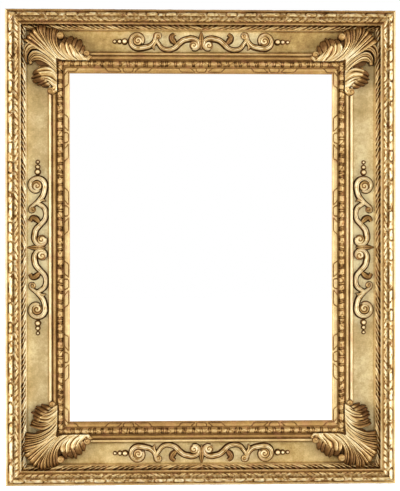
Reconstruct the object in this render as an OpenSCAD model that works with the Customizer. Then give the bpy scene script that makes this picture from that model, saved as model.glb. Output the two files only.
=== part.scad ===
// Carved and gilded picture frame of cassetta pattern: a half-lapped back frame,
// mitred outer and sight mouldings planted on its front, an acanthus leaf laid
// over each corner of the flat frieze, and a scroll ornament in the middle of
// each side. The back carries two ring hangers and eight turn buttons.

/* [Opening] */
// Width of the opening seen from the front
sight_w = 452; // [410:1:640]
// Height of the opening seen from the front
sight_h = 598; // [500:1:860]

/* [Section, from the outer edge inwards] */
// Plain fillet along the outer edge
outer_fillet_w = 5; // [4:0.5:8]
// Sloping row carved with leaves
leaf_row_w = 9; // [7:0.5:14]
// Quirk behind the leaf row
valley_w = 4; // [3:0.5:7]
// Crest, the highest roll of the frame
crest_w = 7; // [6:0.5:12]
// Thin fillet inside the crest
inner_fillet_w = 2.5; // [1.5:0.5:5]
// Ribbon twist beside the frieze
rope_w = 8.5; // [7:0.5:12]
// Flat frieze
frieze_w = 38; // [34:1:60]
// First fillet of the sight moulding
sight_fillet_w = 5; // [4:0.5:8]
// Groove between the two fillets
sight_groove_w = 3; // [2:0.5:5]
// Second fillet of the sight moulding
second_fillet_w = 4; // [3:0.5:6]
// Hollow in front of the bead row
hollow_w = 4.5; // [3.5:0.5:7]
// Row of beads and reels
bead_row_w = 6; // [5:0.5:9]
// Dark hollow behind the bead row
quirk_w = 4.5; // [3:0.5:7]
// Leaf-tip slope at the opening
lip_w = 9; // [8:0.5:14]

/* [Heights above the frieze] */
// Outer fillet
outer_fillet_h = 8; // [6:0.5:12]
// Top of the leaf row
leaf_row_h = 21; // [18:0.5:24]
// Floor of the quirk
valley_h = 17; // [12:0.5:17.5]
// Crest
crest_h = 28; // [25:0.5:36]
// Thin fillet inside the crest
inner_fillet_h = 19.5; // [16:0.5:22]
// Top of the ribbon twist
rope_h = 11.8; // [9:0.1:14]
// First fillet of the sight moulding
sight_fillet_h = 8.7; // [7:0.1:11]
// Groove, hollow and quirk floors of the sight moulding
groove_h = 4.5; // [3:0.1:6]
// Top of the bead row
bead_h = 11.8; // [10:0.1:15]
// Top of the leaf-tip slope
lip_h = 8; // [6.5:0.5:10]
// Thickness of the edge seen at the opening
lip_edge_h = 2.5; // [2:0.5:5]

/* [Back frame] */
// Thickness of the back frame, up to the frieze
back_t = 30; // [26:1:45]
// How far the back frame's side lies inside the outer moulding
back_inset = 4; // [2:0.5:10]
// Overhang of the sight moulding over the rabbet
rabbet_lip = 7; // [5:0.5:7.5]
// Width of the sunk ledge that the turn buttons stand on
ledge_w = 15; // [14:0.5:20]
// Depth of that ledge below the rear face
ledge_depth = 6; // [5:0.5:9]
// Radius of the corner pegs
peg_r = 4; // [3:0.5:6]
// Length of the corner pegs
peg_len = 24; // [20:1:25]
// Radial clearance of a peg or nail in its hole
peg_clearance = 0.02; // [0.01:0.01:0.05]

/* [Carving] */
// Distance between the cuts that part the strands of the ribbon twist
rope_pitch = 12; // [10:0.5:18]
// Slant of the strands against the moulding
rope_angle = 32; // [28:1:45]
// Distance between the notches of the crest
crest_pitch = 11.4; // [9:0.1:16]
// Repeat of the leaf row: one long petal and three short scrolls
leaf_repeat = 137.6; // [120:0.1:160]
// Repeat of the bead row: a long bead and a reel
bead_repeat = 15.7; // [12:0.1:24]
// Repeat of the leaf tips at the opening: a group of three and a plain stretch
tip_repeat = 125.6; // [110:0.1:150]
// Height of the scroll ornaments above the frieze
scroll_h = 7; // [5:0.5:9]
// Half the width of a scroll's stem
stem_half_w = 4.2; // [3.2:0.1:4.4]
// Length of a scroll ornament on the stiles, from the middle to the last volute
stile_scroll_len = 124; // [116:1:135]
// The same on the rails
rail_scroll_len = 126; // [118:1:132]
// Radius of the largest bead beyond a scroll
bead_r = 4.6; // [3.5:0.1:5]
// Height of the corner leaf at the middle of its ribs
leaf_h = 19; // [16:0.5:22]
// Depth of the flutes between the ribs
flute_depth = 2.6; // [1:0.1:3.5]

/* [Fittings] */
// Distance of the ring hangers below the top edge
hanger_drop = 150; // [130:1:220]
// Radius of the ring's wire
ring_wire_r = 1.5; // [1.2:0.1:2]
// Inner radius of the ring's bow
ring_r = 9.5; // [9:0.5:14]
// Radial clearance of the ring's bar in the strap's eye
ring_clearance = 0.08; // [0.04:0.01:0.1]
// Thickness of one leaf of the folded strap
strap_t = 1.2; // [0.8:0.1:1.3]
// Width of the strap
strap_w = 14; // [11:0.5:16]
// Length of the strap below the eye
strap_len = 42; // [40:1:55]
// Radius of the strap's screws
screw_r = 1.75; // [1.5:0.05:2]
// Length of a turn button's long arm
button_arm = 14; // [12.5:0.5:15]
// Width of a turn button
button_w = 9; // [8:0.5:10]
// Thickness of a turn button
button_t = 2; // [1.5:0.1:2.5]
// Radius of the turn button's screw
button_screw_r = 1.55; // [1.3:0.05:2]
// Radial clearance of a turn button on its screw
button_clearance = 0.06; // [0.03:0.01:0.1]

/* [Hidden] */
$fn = 48;

outer_band_w = outer_fillet_w + leaf_row_w + valley_w + crest_w + inner_fillet_w + rope_w;
sight_band_w = sight_fillet_w + sight_groove_w + second_fillet_w + hollow_w
    + bead_row_w + quirk_w + lip_w;
sight_s = outer_band_w + frieze_w;
moulding_w = sight_s + sight_band_w;
frame_w = sight_w + 2 * moulding_w;
frame_h = sight_h + 2 * moulding_w;
rabbet_s = moulding_w - rabbet_lip;
ledge_s = rabbet_s - ledge_w;
frieze_mid = outer_band_w + frieze_w / 2;

// The rear face of the top rail runs from the back frame's side to the ledge,
// and the part's origin lies in its middle.
top_y = (back_inset + ledge_s) / 2;
mid_y = top_y - frame_h / 2;
bottom_y = top_y - frame_h;

// Everything is drawn lying face up: x to the viewer's right, y up the frame and
// z out of the wall, and then stood up on its lower edge.
module stand() rotate([90, 0, 0]) children();

// Puts a member that is drawn along x, with its outer edge on y = 0 and the
// opening towards +y, on one side of the frame.
module on_side(side) {
    if (side == "bottom") translate([0, bottom_y, 0]) children();
    if (side == "top") translate([0, top_y, 0]) mirror([0, 1, 0]) children();
    if (side == "left") translate([-frame_w / 2, mid_y, 0]) rotate([0, 0, -90]) children();
    if (side == "right") mirror([1, 0, 0]) translate([-frame_w / 2, mid_y, 0])
        rotate([0, 0, -90]) children();
}

// Puts what is drawn for the lower left corner on one of the four corners.
module on_corner(right, top) {
    translate([0, mid_y, 0]) mirror([right ? 1 : 0, 0, 0]) mirror([0, top ? 1 : 0, 0])
        translate([-frame_w / 2, -frame_h / 2, 0]) children();
}

function side_len(side) = side == "left" || side == "right" ? frame_h : frame_w;
function is_stile(side) = side == "left" || side == "right";

// Points on an ellipse about c with radii rx and ry, from angle a0 to a1.
function ellipse_arc(c, rx, ry, a0, a1, n = 6) =
    [for (i = [0 : n]) let (a = a0 + (a1 - a0) * i / n) c + [rx * cos(a), ry * sin(a)]];

// Catmull-Rom curve through p, with n steps between neighbouring points.
function at(p, i) = p[max(0, min(len(p) - 1, i))];
function blend(a, b, c, d, t) =
    0.5 * (2 * b + (c - a) * t + (2 * a - 5 * b + 4 * c - d) * t * t
        + (3 * b - a - 3 * c + d) * t * t * t);
function smooth_path(p, n) = [
    for (i = [0 : len(p) - 2], k = [0 : n - 1])
        blend(at(p, i - 1), p[i], p[i + 1], at(p, i + 2), k / n),
    p[len(p) - 1],
];

// Spiral about c from angle a0 and radius r0 to a1 and r1, which winds in later
// the larger bend is. Angles turn from the second axis towards the first.
function spiral(c, a0, a1, r0, r1, bend, n) = [
    for (i = [0 : n])
        let (f = i / n, a = a0 + (a1 - a0) * f, r = r0 + (r1 - r0) * pow(f, bend))
            c + r * [sin(a), cos(a)]
];

function reversed(p) = [for (i = [len(p) - 1 : -1 : 0]) p[i]];

/* Mouldings */

// Sections in the plane of distance from the outer edge and height above the wall.
valley_s = outer_fillet_w + leaf_row_w;
crest_s = valley_s + valley_w;
inner_fillet_s = crest_s + crest_w;
rope_s = inner_fillet_s + inner_fillet_w;
rope_mid = rope_s + rope_w / 2;
edge_round = 2;
outer_section = concat(
    [[0, 0]],
    ellipse_arc([edge_round, outer_fillet_h - edge_round], edge_round, edge_round, 180, 90, 3),
    [[outer_fillet_w, outer_fillet_h]],
    ellipse_arc([valley_s, outer_fillet_h + 1], leaf_row_w, leaf_row_h - outer_fillet_h - 1, 180, 90, 5),
    [[valley_s + 0.4, valley_h], [crest_s, valley_h]],
    ellipse_arc([crest_s + crest_w / 2, inner_fillet_h + 1], crest_w / 2,
        crest_h - inner_fillet_h - 1, 180, 0, 8),
    [[inner_fillet_s, inner_fillet_h], [rope_s, inner_fillet_h]],
    ellipse_arc([rope_mid, rope_h / 2], rope_w / 2, rope_h / 2, 150, 0, 7),
    [[outer_band_w, 0]]
);

groove_s = sight_fillet_w;
second_s = groove_s + sight_groove_w;
hollow_s = second_s + second_fillet_w;
bead_s = hollow_s + hollow_w;
quirk_s = bead_s + bead_row_w;
lip_s = quirk_s + quirk_w;
second_fillet_h = sight_fillet_h - 0.2;
sight_section = concat(
    [[0, 0]],
    ellipse_arc([sight_fillet_w / 2, sight_fillet_h - 2.5], sight_fillet_w / 2, 2.5, 180, 0, 6),
    [[groove_s, groove_h - 1], [second_s, groove_h - 1]],
    [[second_s, second_fillet_h - 0.6], [second_s + 0.6, second_fillet_h]],
    [[hollow_s, second_fillet_h]],
    ellipse_arc([bead_s, second_fillet_h], hollow_w, second_fillet_h - groove_h, 190, 270, 4),
    ellipse_arc([bead_s + bead_row_w / 2, bead_h - bead_row_w / 2],
        bead_row_w / 2, bead_row_w / 2, 180, 0, 6),
    [[quirk_s, groove_h], [lip_s, groove_h]],
    ellipse_arc([lip_s, lip_edge_h], lip_w, lip_h - lip_edge_h, 90, 0, 5),
    [[sight_band_w, 0]]
);

// A length of moulding with mitred ends, drawn for on_side: near and far are the
// distances of its two edges from the outer edge of the frame.
module mitred(section, near, far, side_length) {
    top_h = back_t + crest_h + 1;
    intersection() {
        translate([-side_length / 2, near, back_t]) rotate([90, 0, 90])
            linear_extrude(side_length) polygon(section);
        linear_extrude(top_h) polygon([
            [-side_length / 2 + near, near], [side_length / 2 - near, near],
            [side_length / 2 - far, far], [-side_length / 2 + far, far],
        ]);
    }
}

// A V-shaped cut lies along y; its edge is sunk by depth where it is placed.
cut_rise = 0.6;
module v_cut(width, depth, length) {
    rotate([90, 0, 0]) linear_extrude(length, center = true)
        polygon([[0, -depth], [width / 2, cut_rise], [-width / 2, cut_rise]]);
}

// Places along a member in every repeat, at the given offsets from its middle.
function repeats(side, pitch, offsets) =
    let (n = ceil(side_len(side) / 2 / pitch)) [for (k = [-n : n], o = offsets) k * pitch + o];

// The strands of the ribbon twist and the leaf tips of the crest lean away from
// the middle of each member.
module rope_cuts(side) {
    intersection() {
        translate([-side_len(side), rope_s + 0.8, back_t]) cube([2 * side_len(side), rope_w, inner_fillet_h]);
        for (u = repeats(side, rope_pitch, [rope_pitch / 2]))
            translate([u, rope_mid, back_t + rope_h])
                rotate([0, 0, (u < 0 ? -1 : 1) * (90 - rope_angle)]) v_cut(3.2, 2.2, 2 * rope_w);
    }
}

crest_lean = 35;
module crest_cuts(side) {
    for (u = repeats(side, crest_pitch, [crest_pitch / 2]))
        translate([u, crest_s + crest_w / 2, back_t + crest_h])
            rotate([0, 0, (u < 0 ? -1 : 1) * crest_lean]) v_cut(2.4, 2, crest_w * 0.9);
}

// Nicks part the petals of the leaf row. They follow the chord of the slope and
// are deepest at its fullest place.
petal_gaps = [-52, -21.5, 21.5, 52];
module leaf_row_cuts(side) {
    rise = leaf_row_h - outer_fillet_h - 1;
    for (u = repeats(side, leaf_repeat, [for (g = petal_gaps) g + leaf_repeat / 2]))
        translate([u, valley_s - leaf_row_w * cos(45), back_t + outer_fillet_h + 1 + rise * sin(45)])
            rotate([atan2(rise, leaf_row_w), 0, 0]) v_cut(3.6, 1.5, leaf_row_w);
}

module outer_moulding(side) {
    color("#C9A55C") stand() on_side(side) difference() {
        mitred(outer_section, 0, outer_band_w, side_len(side));
        nail_holes(side, outer_nail_s, outer_nail_reach);
        rope_cuts(side);
        crest_cuts(side);
        leaf_row_cuts(side);
    }
}

// Two cuts at every repeat leave a reel between long beads.
reel_half = 1.7;
module bead_cuts(side) {
    for (u = repeats(side, bead_repeat, [-reel_half, reel_half]))
        translate([u, sight_s + bead_s + bead_row_w / 2, back_t + bead_h]) v_cut(2, 1.7, bead_row_w);
}

tip_gaps = [-40, -13.5, 13.5, 40];
module tip_cuts(side) {
    fall = lip_h - lip_edge_h;
    for (u = repeats(side, tip_repeat, [for (g = tip_gaps) g + tip_repeat / 2]))
        translate([u, sight_s + lip_s + lip_w * cos(45), back_t + lip_edge_h + fall * sin(45)])
            rotate([-atan2(fall, lip_w), 0, 0]) v_cut(3, 1, lip_w * 0.8);
}

module sight_moulding(side) {
    color("#D2B06A") stand() on_side(side) difference() {
        mitred(sight_section, sight_s, moulding_w, side_len(side));
        nail_holes(side, sight_nail_s, sight_nail_reach);
        bead_cuts(side);
        tip_cuts(side);
    }
}

/* Back frame */

// One member of the back frame. The stiles keep their rear half through the
// corners and the rails their front half, so the four lap over one another.
module back_member(side) {
    length = side_len(side) - 2 * back_inset;
    width = rabbet_s - back_inset;
    lap_z = is_stile(side) ? back_t / 2 : 0;
    color("#8A6238") stand() difference() {
        on_side(side) difference() {
            translate([-length / 2, back_inset, 0]) cube([length, width, back_t]);
            for (end = [-1, 1])
                translate([end * (length / 2 - width / 2), back_inset + width / 2, lap_z + back_t / 4])
                    cube([width, width + 2, back_t / 2], center = true);
            nail_holes(side, outer_nail_s, outer_nail_reach);
            nail_holes(side, sight_nail_s, sight_nail_reach);
            for (u = button_places(side))
                translate([u, button_s, 0]) cylinder(r = button_screw_r + peg_clearance, h = button_screw_tip);
        }
        ledge_cut();
        peg_holes();
        hanger_screw_holes();
    }
}

// The sunk ledge behind the picture, cut in all four members at once.
module ledge_cut() {
    ledge_x = frame_w - 2 * ledge_s;
    ledge_y = frame_h - 2 * ledge_s;
    translate([-ledge_x / 2, mid_y - ledge_y / 2, -1]) cube([ledge_x, ledge_y, ledge_depth + 1]);
}

// Two pegs pin each corner, on the diagonal across the mitre.
peg_near = 26;
peg_far = 64;
peg_places = [[peg_near, peg_far], [peg_far, peg_near]];
module at_pegs() {
    for (right = [false, true], top = [false, true], p = peg_places)
        on_corner(right, top) translate([p[0], p[1], 0]) children();
}

module peg_holes() at_pegs() translate([0, 0, -1]) cylinder(r = peg_r + peg_clearance, h = peg_len + 1);

module lap_pegs() {
    color("#A9814E") stand() at_pegs() cylinder(r = peg_r, h = peg_len);
}

/* Nails that hold the mouldings */

nail_r = 1;
nail_len = 22;
outer_nail_s = outer_fillet_w + leaf_row_w * 0.8;
outer_nail_reach = 12;
sight_nail_s = sight_s + second_s + second_fillet_w / 2;
sight_nail_reach = 5;
nail_share = [-0.33, 0, 0.33];

function nail_places(side) = [
    for (f = is_stile(side) ? nail_share : [nail_share[0], nail_share[2]]) f * side_len(side)
];

module nail_holes(side, s, reach) {
    for (u = nail_places(side))
        translate([u, s, back_t + reach - nail_len]) cylinder(r = nail_r + peg_clearance, h = nail_len);
}

module moulding_nails() {
    color("#6E6A64") stand() for (side = ["left", "right", "top", "bottom"]) on_side(side)
        for (u = nail_places(side), row = [[outer_nail_s, outer_nail_reach], [sight_nail_s, sight_nail_reach]])
            translate([u, row[0], back_t + row[1] - nail_len]) cylinder(r = nail_r, h = nail_len);
}

/* Corner leaves */

// The leaf springs from the inner corner of the frieze and fans out over it. Its
// rim is given for one half by the angle from the corner's diagonal and the
// distance from the root: a broad middle lobe, a plume that curls over, a
// scalloped lobe and the end curl that lies along the sight moulding.
leaf_seat = 3;
leaf_root = sight_s + hollow_s + leaf_seat;
leaf_unit = (leaf_root - outer_band_w) / 53;
leaf_rim = [
    [0, 69], [8, 71], [14, 66], [18, 58], [22, 61], [32, 58], [42, 56], [50, 50], [58, 42],
    [66, 35], [70, 40], [75, 46], [83, 50], [94, 51], [102, 49], [109, 46], [114, 49],
    [120, 54], [127, 58], [131, 57],
];
leaf_steps = 2;
leaf_rows = 5;
rim_half = smooth_path(leaf_rim, leaf_steps);
rim = concat([for (p = reversed(rim_half)) [-p[0], p[1]]], [for (i = [1 : len(rim_half) - 1]) rim_half[i]]);

// Directions away from the opening along the diagonal and square to it.
out_dir = [-1, -1] / sqrt(2);
wing_dir = [1, -1] / sqrt(2);

// A rib leaves the inner edge of the leaf parallel to the diagonal and bends
// away to its place on the rim.
rib_spread = 0.42;
rib_reach = 0.62;
function rib_start(angle) = rib_spread * leaf_unit * abs(angle) * (angle < 0 ? [0, 1] : [1, 0]);
function rib_end(p) = leaf_unit * p[1] * (cos(p[0]) * out_dir + sin(p[0]) * wing_dir);
function rib_point(p, f) =
    let (s = rib_start(p[0]), e = rib_end(p), c = s + out_dir * rib_reach * norm(e - s))
        (1 - f) * (1 - f) * s + 2 * f * (1 - f) * c + f * f * e;

// Height of the leaf over the frieze: it rises from the sight moulding, dips
// into a flute between every two ribs, and the lobes that reach the ribbon
// twist lie on top of it.
leaf_edge_h = sight_fillet_h + 4.5;
lobe_over_rope = 46;
flute_turn = 18;
function tip_h(angle) =
    let (f = max(0, min(1, (abs(angle) - lobe_over_rope) / 8)))
        (rope_h + 3) * (1 - f) + (sight_fillet_h + 0.5) * f;
function flute(angle, f) =
    flute_depth * (0.5 - 0.5 * cos(360 * angle / flute_turn)) * sin(180 * pow(f, 0.8));
function leaf_height(angle, f) =
    leaf_edge_h + (tip_h(angle) - leaf_edge_h) * f * f
    + (leaf_h - leaf_edge_h) * sin(180 * pow(f, 0.8)) - flute(angle, f);

module leaf_solid() {
    n = len(rim);
    top = [
        for (p = rim, k = [0 : leaf_rows])
            let (f = k / leaf_rows, q = rib_point(p, f)) [q[0], q[1], leaf_height(p[0], f)]
    ];
    foot = [for (p = rim, f = [0, 1]) let (q = rib_point(p, f)) [q[0], q[1], 0]];
    row = leaf_rows + 1;
    base = n * row;
    last = n - 1;
    faces = concat(
        [for (i = [0 : n - 2], k = [0 : leaf_rows - 1])
            each [[i * row + k, (i + 1) * row + k, (i + 1) * row + k + 1],
                [i * row + k, (i + 1) * row + k + 1, i * row + k + 1]]],
        [concat([for (i = [0 : last]) base + 2 * i + 1], [for (i = [last : -1 : 0]) base + 2 * i])],
        [for (i = [0 : n - 2])
            each [[i * row, base + 2 * i, base + 2 * i + 2], [i * row, base + 2 * i + 2, (i + 1) * row]]],
        [for (i = [0 : n - 2])
            each [[i * row + leaf_rows, (i + 1) * row + leaf_rows, base + 2 * i + 3],
                [i * row + leaf_rows, base + 2 * i + 3, base + 2 * i + 1]]],
        [for (k = [0 : leaf_rows - 1]) [k, k + 1, base]],
        [[leaf_rows, base + 1, base]],
        [for (k = [0 : leaf_rows - 1]) [last * row + k + 1, last * row + k, base + 2 * last]],
        [[base + 2 * last + 1, last * row + leaf_rows, base + 2 * last]]
    );
    polyhedron(points = concat(top, foot), faces = faces, convexity = 8);
}

// Where the plume, the scallops and the end of each wing roll over: each curl's
// place in leaf_rim and its radius.
leaf_curls = [[7, 4], [10, 2.6], [12, 3], [14, 2.8], [17, 3.6]];
curl_inset = 0.9;
module leaf_curl(p, r) {
    q = rib_point(p, curl_inset);
    h = leaf_height(p[0], curl_inset);
    translate([q[0], q[1], 0]) hull() {
        cylinder(r = r, h = h - 1, $fn = 6);
        cylinder(r = 0.45 * r, h = h + 1.5, $fn = 6);
    }
}

// The leaf as fitted: scribed over the fillets of the sight moulding and over
// the ribbon twist.
scribe = 0.05;
module corner_leaf(right, top) {
    far = 2 * leaf_root;
    color("#CFAE68") stand() on_corner(right, top) difference() {
        translate([leaf_root, leaf_root, back_t]) {
            leaf_solid();
            for (c = leaf_curls, half = [-1, 1])
                leaf_curl([half * leaf_rim[c[0]][0], leaf_rim[c[0]][1]], c[1]);
        }
        translate([sight_s - scribe, sight_s - scribe, back_t - 1])
            cube([far, far, sight_fillet_h + scribe + 1]);
        translate([-far, -far, back_t - 1]) cube([far + outer_band_w + scribe, 3 * far, rope_h + scribe + 1]);
        translate([-far, -far, back_t - 1]) cube([3 * far, far + outer_band_w + scribe, rope_h + scribe + 1]);
    }
}

/* Scroll ornaments */

// A strand of relief: a flat-topped section with sloping sides carried along a path that lies on
// the frieze. widths and heights are given at each point of the path.
function path_normal(p, i) =
    let (d = at(p, i + 1) - at(p, i - 1)) [-d[1], d[0]] / norm(d);
strand_shape = [[-1, 0], [-0.55, 0.9], [0.55, 0.9], [1, 0]];
module strand(path, widths, heights) {
    n = len(path);
    m = len(strand_shape);
    points = [
        for (i = [0 : n - 1], q = strand_shape)
            let (c = path[i] + path_normal(path, i) * q[0] * widths[i]) [c[0], c[1], q[1] * heights[i]]
    ];
    faces = concat(
        [for (i = [0 : n - 2], k = [0 : m - 1])
            each [[i * m + k, i * m + (k + 1) % m, (i + 1) * m + (k + 1) % m],
                [i * m + k, (i + 1) * m + (k + 1) % m, (i + 1) * m + k]]],
        [[for (k = [m - 1 : -1 : 0]) k]],
        [[for (k = [0 : m - 1]) (n - 1) * m + k]]
    );
    polyhedron(points = points, faces = faces, convexity = 6);
}

// Width of a strand of n points that swells from thin ends to its full width.
function swell(n, start, full, end) = [
    for (i = [0 : n - 1])
        let (f = i / (n - 1)) full * min(1, start + (1 - start) * f / 0.35, end + (1 - end) * (1 - f) / 0.5)
];

module tapered_strand(path, start, full, end) {
    widths = swell(len(path), start, full, end);
    strand(path, widths, [for (w = widths) scroll_h * (0.45 + 0.55 * w / stem_half_w)]);
}

// One half of an ornament lies in (u, v): u runs from the middle of the member
// outwards and v from the middle of the frieze towards the opening. reach is
// the largest v that a stem's middle may take.
reach = frieze_w / 2 - stem_half_w - 0.7;

module volute_eye(p) {
    hull() {
        translate([p[0], p[1], 0]) cylinder(r = stem_half_w * 0.95, h = 1, $fn = 6);
        translate([p[0], p[1], scroll_h * 0.8]) cylinder(r = stem_half_w * 0.45, h = 0.6, $fn = 6);
    }
}

// The low disc that fills a volute behind its strand.
disc_share = 0.4;
module volute_disc(p, r) {
    translate([p[0], p[1], 0]) cylinder(r = r, h = disc_share * scroll_h, $fn = 9);
}

module leaf_tip(from, to, width) {
    hull() {
        translate([from[0], from[1], 0]) cylinder(r = width, h = 0.6, $fn = 12);
        translate([from[0], from[1], scroll_h * 0.75]) cylinder(r = width * 0.3, h = 0.5, $fn = 8);
        translate([to[0], to[1], 0]) cylinder(r = 0.5, h = 0.8, $fn = 6);
    }
}

// inner: centre of the volute beside the middle
// stem: points of the arch from that volute to the knot
// lead: points from the small curl past the knot to the last volute
// outer: centre of the last volute
module half_scroll(inner, inner_r, stem, lead, outer, outer_r, husk, tendril) {
    inner_path = reversed(spiral(inner, 150, 520, inner_r, 2.6, 0.75, 9));
    outer_path = spiral(outer, -10, 415, outer_r, 3, 1.9, 12);
    arch = concat(
        [for (i = [0 : 7]) inner_path[i]],
        smooth_path([inner_path[8], inner_path[9], each stem], 2)
    );
    run = concat(
        smooth_path([each lead, outer_path[0], outer_path[1]], 2),
        [for (i = [2 : 12]) outer_path[i]]
    );
    tapered_strand(arch, 0.6, stem_half_w, 0.7);
    tapered_strand(run, 0.45, stem_half_w, 0.55);
    tapered_strand(smooth_path(husk, 2), 0.8, stem_half_w * 0.75, 0.4);
    tapered_strand(smooth_path(tendril, 2), 0.8, stem_half_w * 0.7, 0.4);
    volute_disc(inner, 0.62 * inner_r);
    volute_disc(outer, 0.72 * outer_r);
    volute_eye(arch[0]);
    volute_eye(run[len(run) - 1]);
    volute_eye(stem[len(stem) - 1]);
    volute_eye(run[0]);
}

module middle_spike() {
    leaf_tip([0, -2], [0, -frieze_w / 2 + 0.8], stem_half_w * 1.3);
    leaf_tip([0, -2], [0, reach], stem_half_w * 1.1);
}

// The last volute of a rail's ornament is a little smaller than that of a stile's.
rail_volute_share = 0.92;

module scroll(side) {
    color("#B78F4C") stand() on_side(side) translate([0, frieze_mid, back_t]) {
        for (m = [0, 1]) mirror([m, 0, 0])
            if (is_stile(side)) stile_half_scroll(); else rail_half_scroll();
        middle_spike();
    }
}

module stile_half_scroll() {
    far = stile_scroll_len - stem_half_w - reach;
    half_scroll(
        inner = [14, 0.5 * reach], inner_r = 14.5,
        stem = [[31, -0.2 * reach], [40, 0.35 * reach], [48, 0.85 * reach], [58, reach],
            [67, 0.85 * reach], [73, 0.4 * reach], [76, -0.05 * reach]],
        lead = [[66, -0.53 * reach], [62, -0.58 * reach], [63, -0.9 * reach], [69, -0.86 * reach],
            [74, -0.4 * reach], [80, 0.1 * reach], [90, 0.66 * reach]],
        outer = [far, -0.1 * reach], outer_r = reach,
        husk = [[42, 0.28 * reach], [49, -0.2 * reach], [51, -0.65 * reach], [45, -0.95 * reach]],
        tendril = [[79, 0], [82, 0.5 * reach], [79, 1.02 * reach]]
    );
}

module rail_half_scroll() {
    far = rail_scroll_len - stem_half_w - rail_volute_share * reach;
    half_scroll(
        inner = [13, 0.45 * reach], inner_r = 13.5,
        stem = [[30, -0.2 * reach], [38, 0.2 * reach], [46, 0.75 * reach], [57, reach],
            [67, 0.8 * reach], [73, 0.3 * reach], [77, -0.1 * reach]],
        lead = [[75, -0.58 * reach], [71, -0.62 * reach], [72, -0.94 * reach], [78, -0.88 * reach],
            [79, -0.4 * reach], [82, 0.1 * reach], [90, 0.58 * reach]],
        outer = [far, -0.1 * reach], outer_r = rail_volute_share * reach,
        husk = [[43, 0.3 * reach], [49, -0.15 * reach], [51, -0.6 * reach], [46, -0.95 * reach]],
        tendril = [[80, 0], [83, 0.5 * reach], [80, 1.02 * reach]]
    );
}

/* Beads beyond the scrolls */

bead_sink = 0.8;
module bead(r) {
    intersection() {
        translate([0, 0, r - bead_sink]) sphere(r);
        translate([-r, -r, 0]) cube(2 * r);
    }
}

module bead_drops(side) {
    tip = is_stile(side) ? stile_scroll_len : rail_scroll_len;
    color("#C9A55C") stand() on_side(side) translate([0, frieze_mid, back_t])
        for (end = [-1, 1], k = [0 : 2])
            translate([end * (tip + bead_r + 1.2 + 8.6 * k), 0, 0]) bead(bead_r - 1.1 * k * (k < 2 ? 1 : 0.9));
}

/* Ring hangers */

hanger_s = (back_inset + ledge_s) / 2;
eye_r = ring_wire_r + ring_clearance;
eye_out_r = eye_r + strap_t;
strap_screw_drops = [22, 35];
bow_mid_r = ring_r + ring_wire_r;
bow_leg = 4;
ring_lean = asin((2 * strap_t + ring_wire_r + 0.3 - eye_out_r) / (bow_mid_r + bow_leg));

// Puts a hanger drawn about its eye's axis, with y up and z towards the wall,
// on the rear of a stile.
module on_hanger(sign) {
    translate([sign * (frame_w / 2 - hanger_s), top_y - hanger_drop, 0]) rotate([0, 180, 0])
        translate([0, 0, eye_out_r]) children();
}

module hanger_strap(sign) {
    color("#B7A47A") stand() on_hanger(sign) difference() {
        union() {
            rotate([0, 90, 0]) cylinder(r = eye_out_r, h = strap_w, center = true);
            translate([-strap_w / 2, -strap_len + strap_w / 2, -eye_out_r])
                cube([strap_w, strap_len - strap_w / 2, 2 * strap_t]);
            translate([0, -strap_len + strap_w / 2, -eye_out_r]) cylinder(r = strap_w / 2, h = 2 * strap_t);
        }
        rotate([0, 90, 0]) cylinder(r = eye_r, h = strap_w + 2, center = true);
        for (d = strap_screw_drops)
            translate([0, -d, -eye_out_r - 1]) cylinder(r = screw_r + peg_clearance, h = 2 * strap_t + 2);
    }
}

// The ring hangs from its bar and leans on the strap.
module hanger_ring(sign) {
    bend_r = 2.4;
    bar = bow_mid_r - bend_r;
    color("#C8B98E") stand() on_hanger(sign) rotate([-ring_lean, 0, 0]) {
        rotate([0, 90, 0]) cylinder(r = ring_wire_r, h = 2 * bar, center = true);
        for (m = [0, 1]) mirror([m, 0, 0]) {
            translate([bar, -bend_r, 0]) rotate_extrude(angle = 90) translate([bend_r, 0]) circle(ring_wire_r);
            translate([bow_mid_r, -bow_leg, 0]) rotate([-90, 0, 0])
                cylinder(r = ring_wire_r, h = bow_leg - bend_r);
        }
        translate([0, -bow_leg, 0]) rotate([0, 0, 180]) rotate_extrude(angle = 180)
            translate([bow_mid_r, 0]) circle(ring_wire_r);
    }
}

strap_screw_depth = 14;
strap_screw_head_r = 3.4;
strap_screw_head_h = 1.4;

module at_hanger_screws() {
    for (sign = [-1, 1], d = strap_screw_drops)
        on_hanger(sign) translate([0, -d, -eye_out_r]) children();
}

module hanger_screw_holes() {
    at_hanger_screws() translate([0, 0, -strap_screw_depth])
        cylinder(r = screw_r + peg_clearance, h = strap_screw_depth + 1);
}

module hanger_screws() {
    color("#9C9686") stand() at_hanger_screws() difference() {
        union() {
            translate([0, 0, -strap_screw_depth]) cylinder(r = screw_r, h = strap_screw_depth + 2 * strap_t);
            translate([0, 0, 2 * strap_t])
                cylinder(r1 = strap_screw_head_r, r2 = strap_screw_head_r * 0.7, h = strap_screw_head_h);
        }
        translate([-strap_screw_head_r, -0.4, 2 * strap_t + strap_screw_head_h - 0.7])
            cube([2 * strap_screw_head_r, 0.8, 2]);
    }
}

/* Turn buttons */

button_s = rabbet_s - ledge_w / 2;
button_gap = 0.2;
button_head_h = 1.2;
button_head_r = 3.2;
button_screw_len = 15;
button_z = ledge_depth - button_gap - button_t;
button_screw_tip = ledge_depth + button_screw_len;

// Places of the pivots along a member.
stile_button_share = 0.25;
rail_button_share = 0.2;
function button_offset(side) =
    is_stile(side) ? stile_button_share * sight_h : rail_button_share * sight_w;
function button_places(side) = [-button_offset(side), button_offset(side)];

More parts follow.
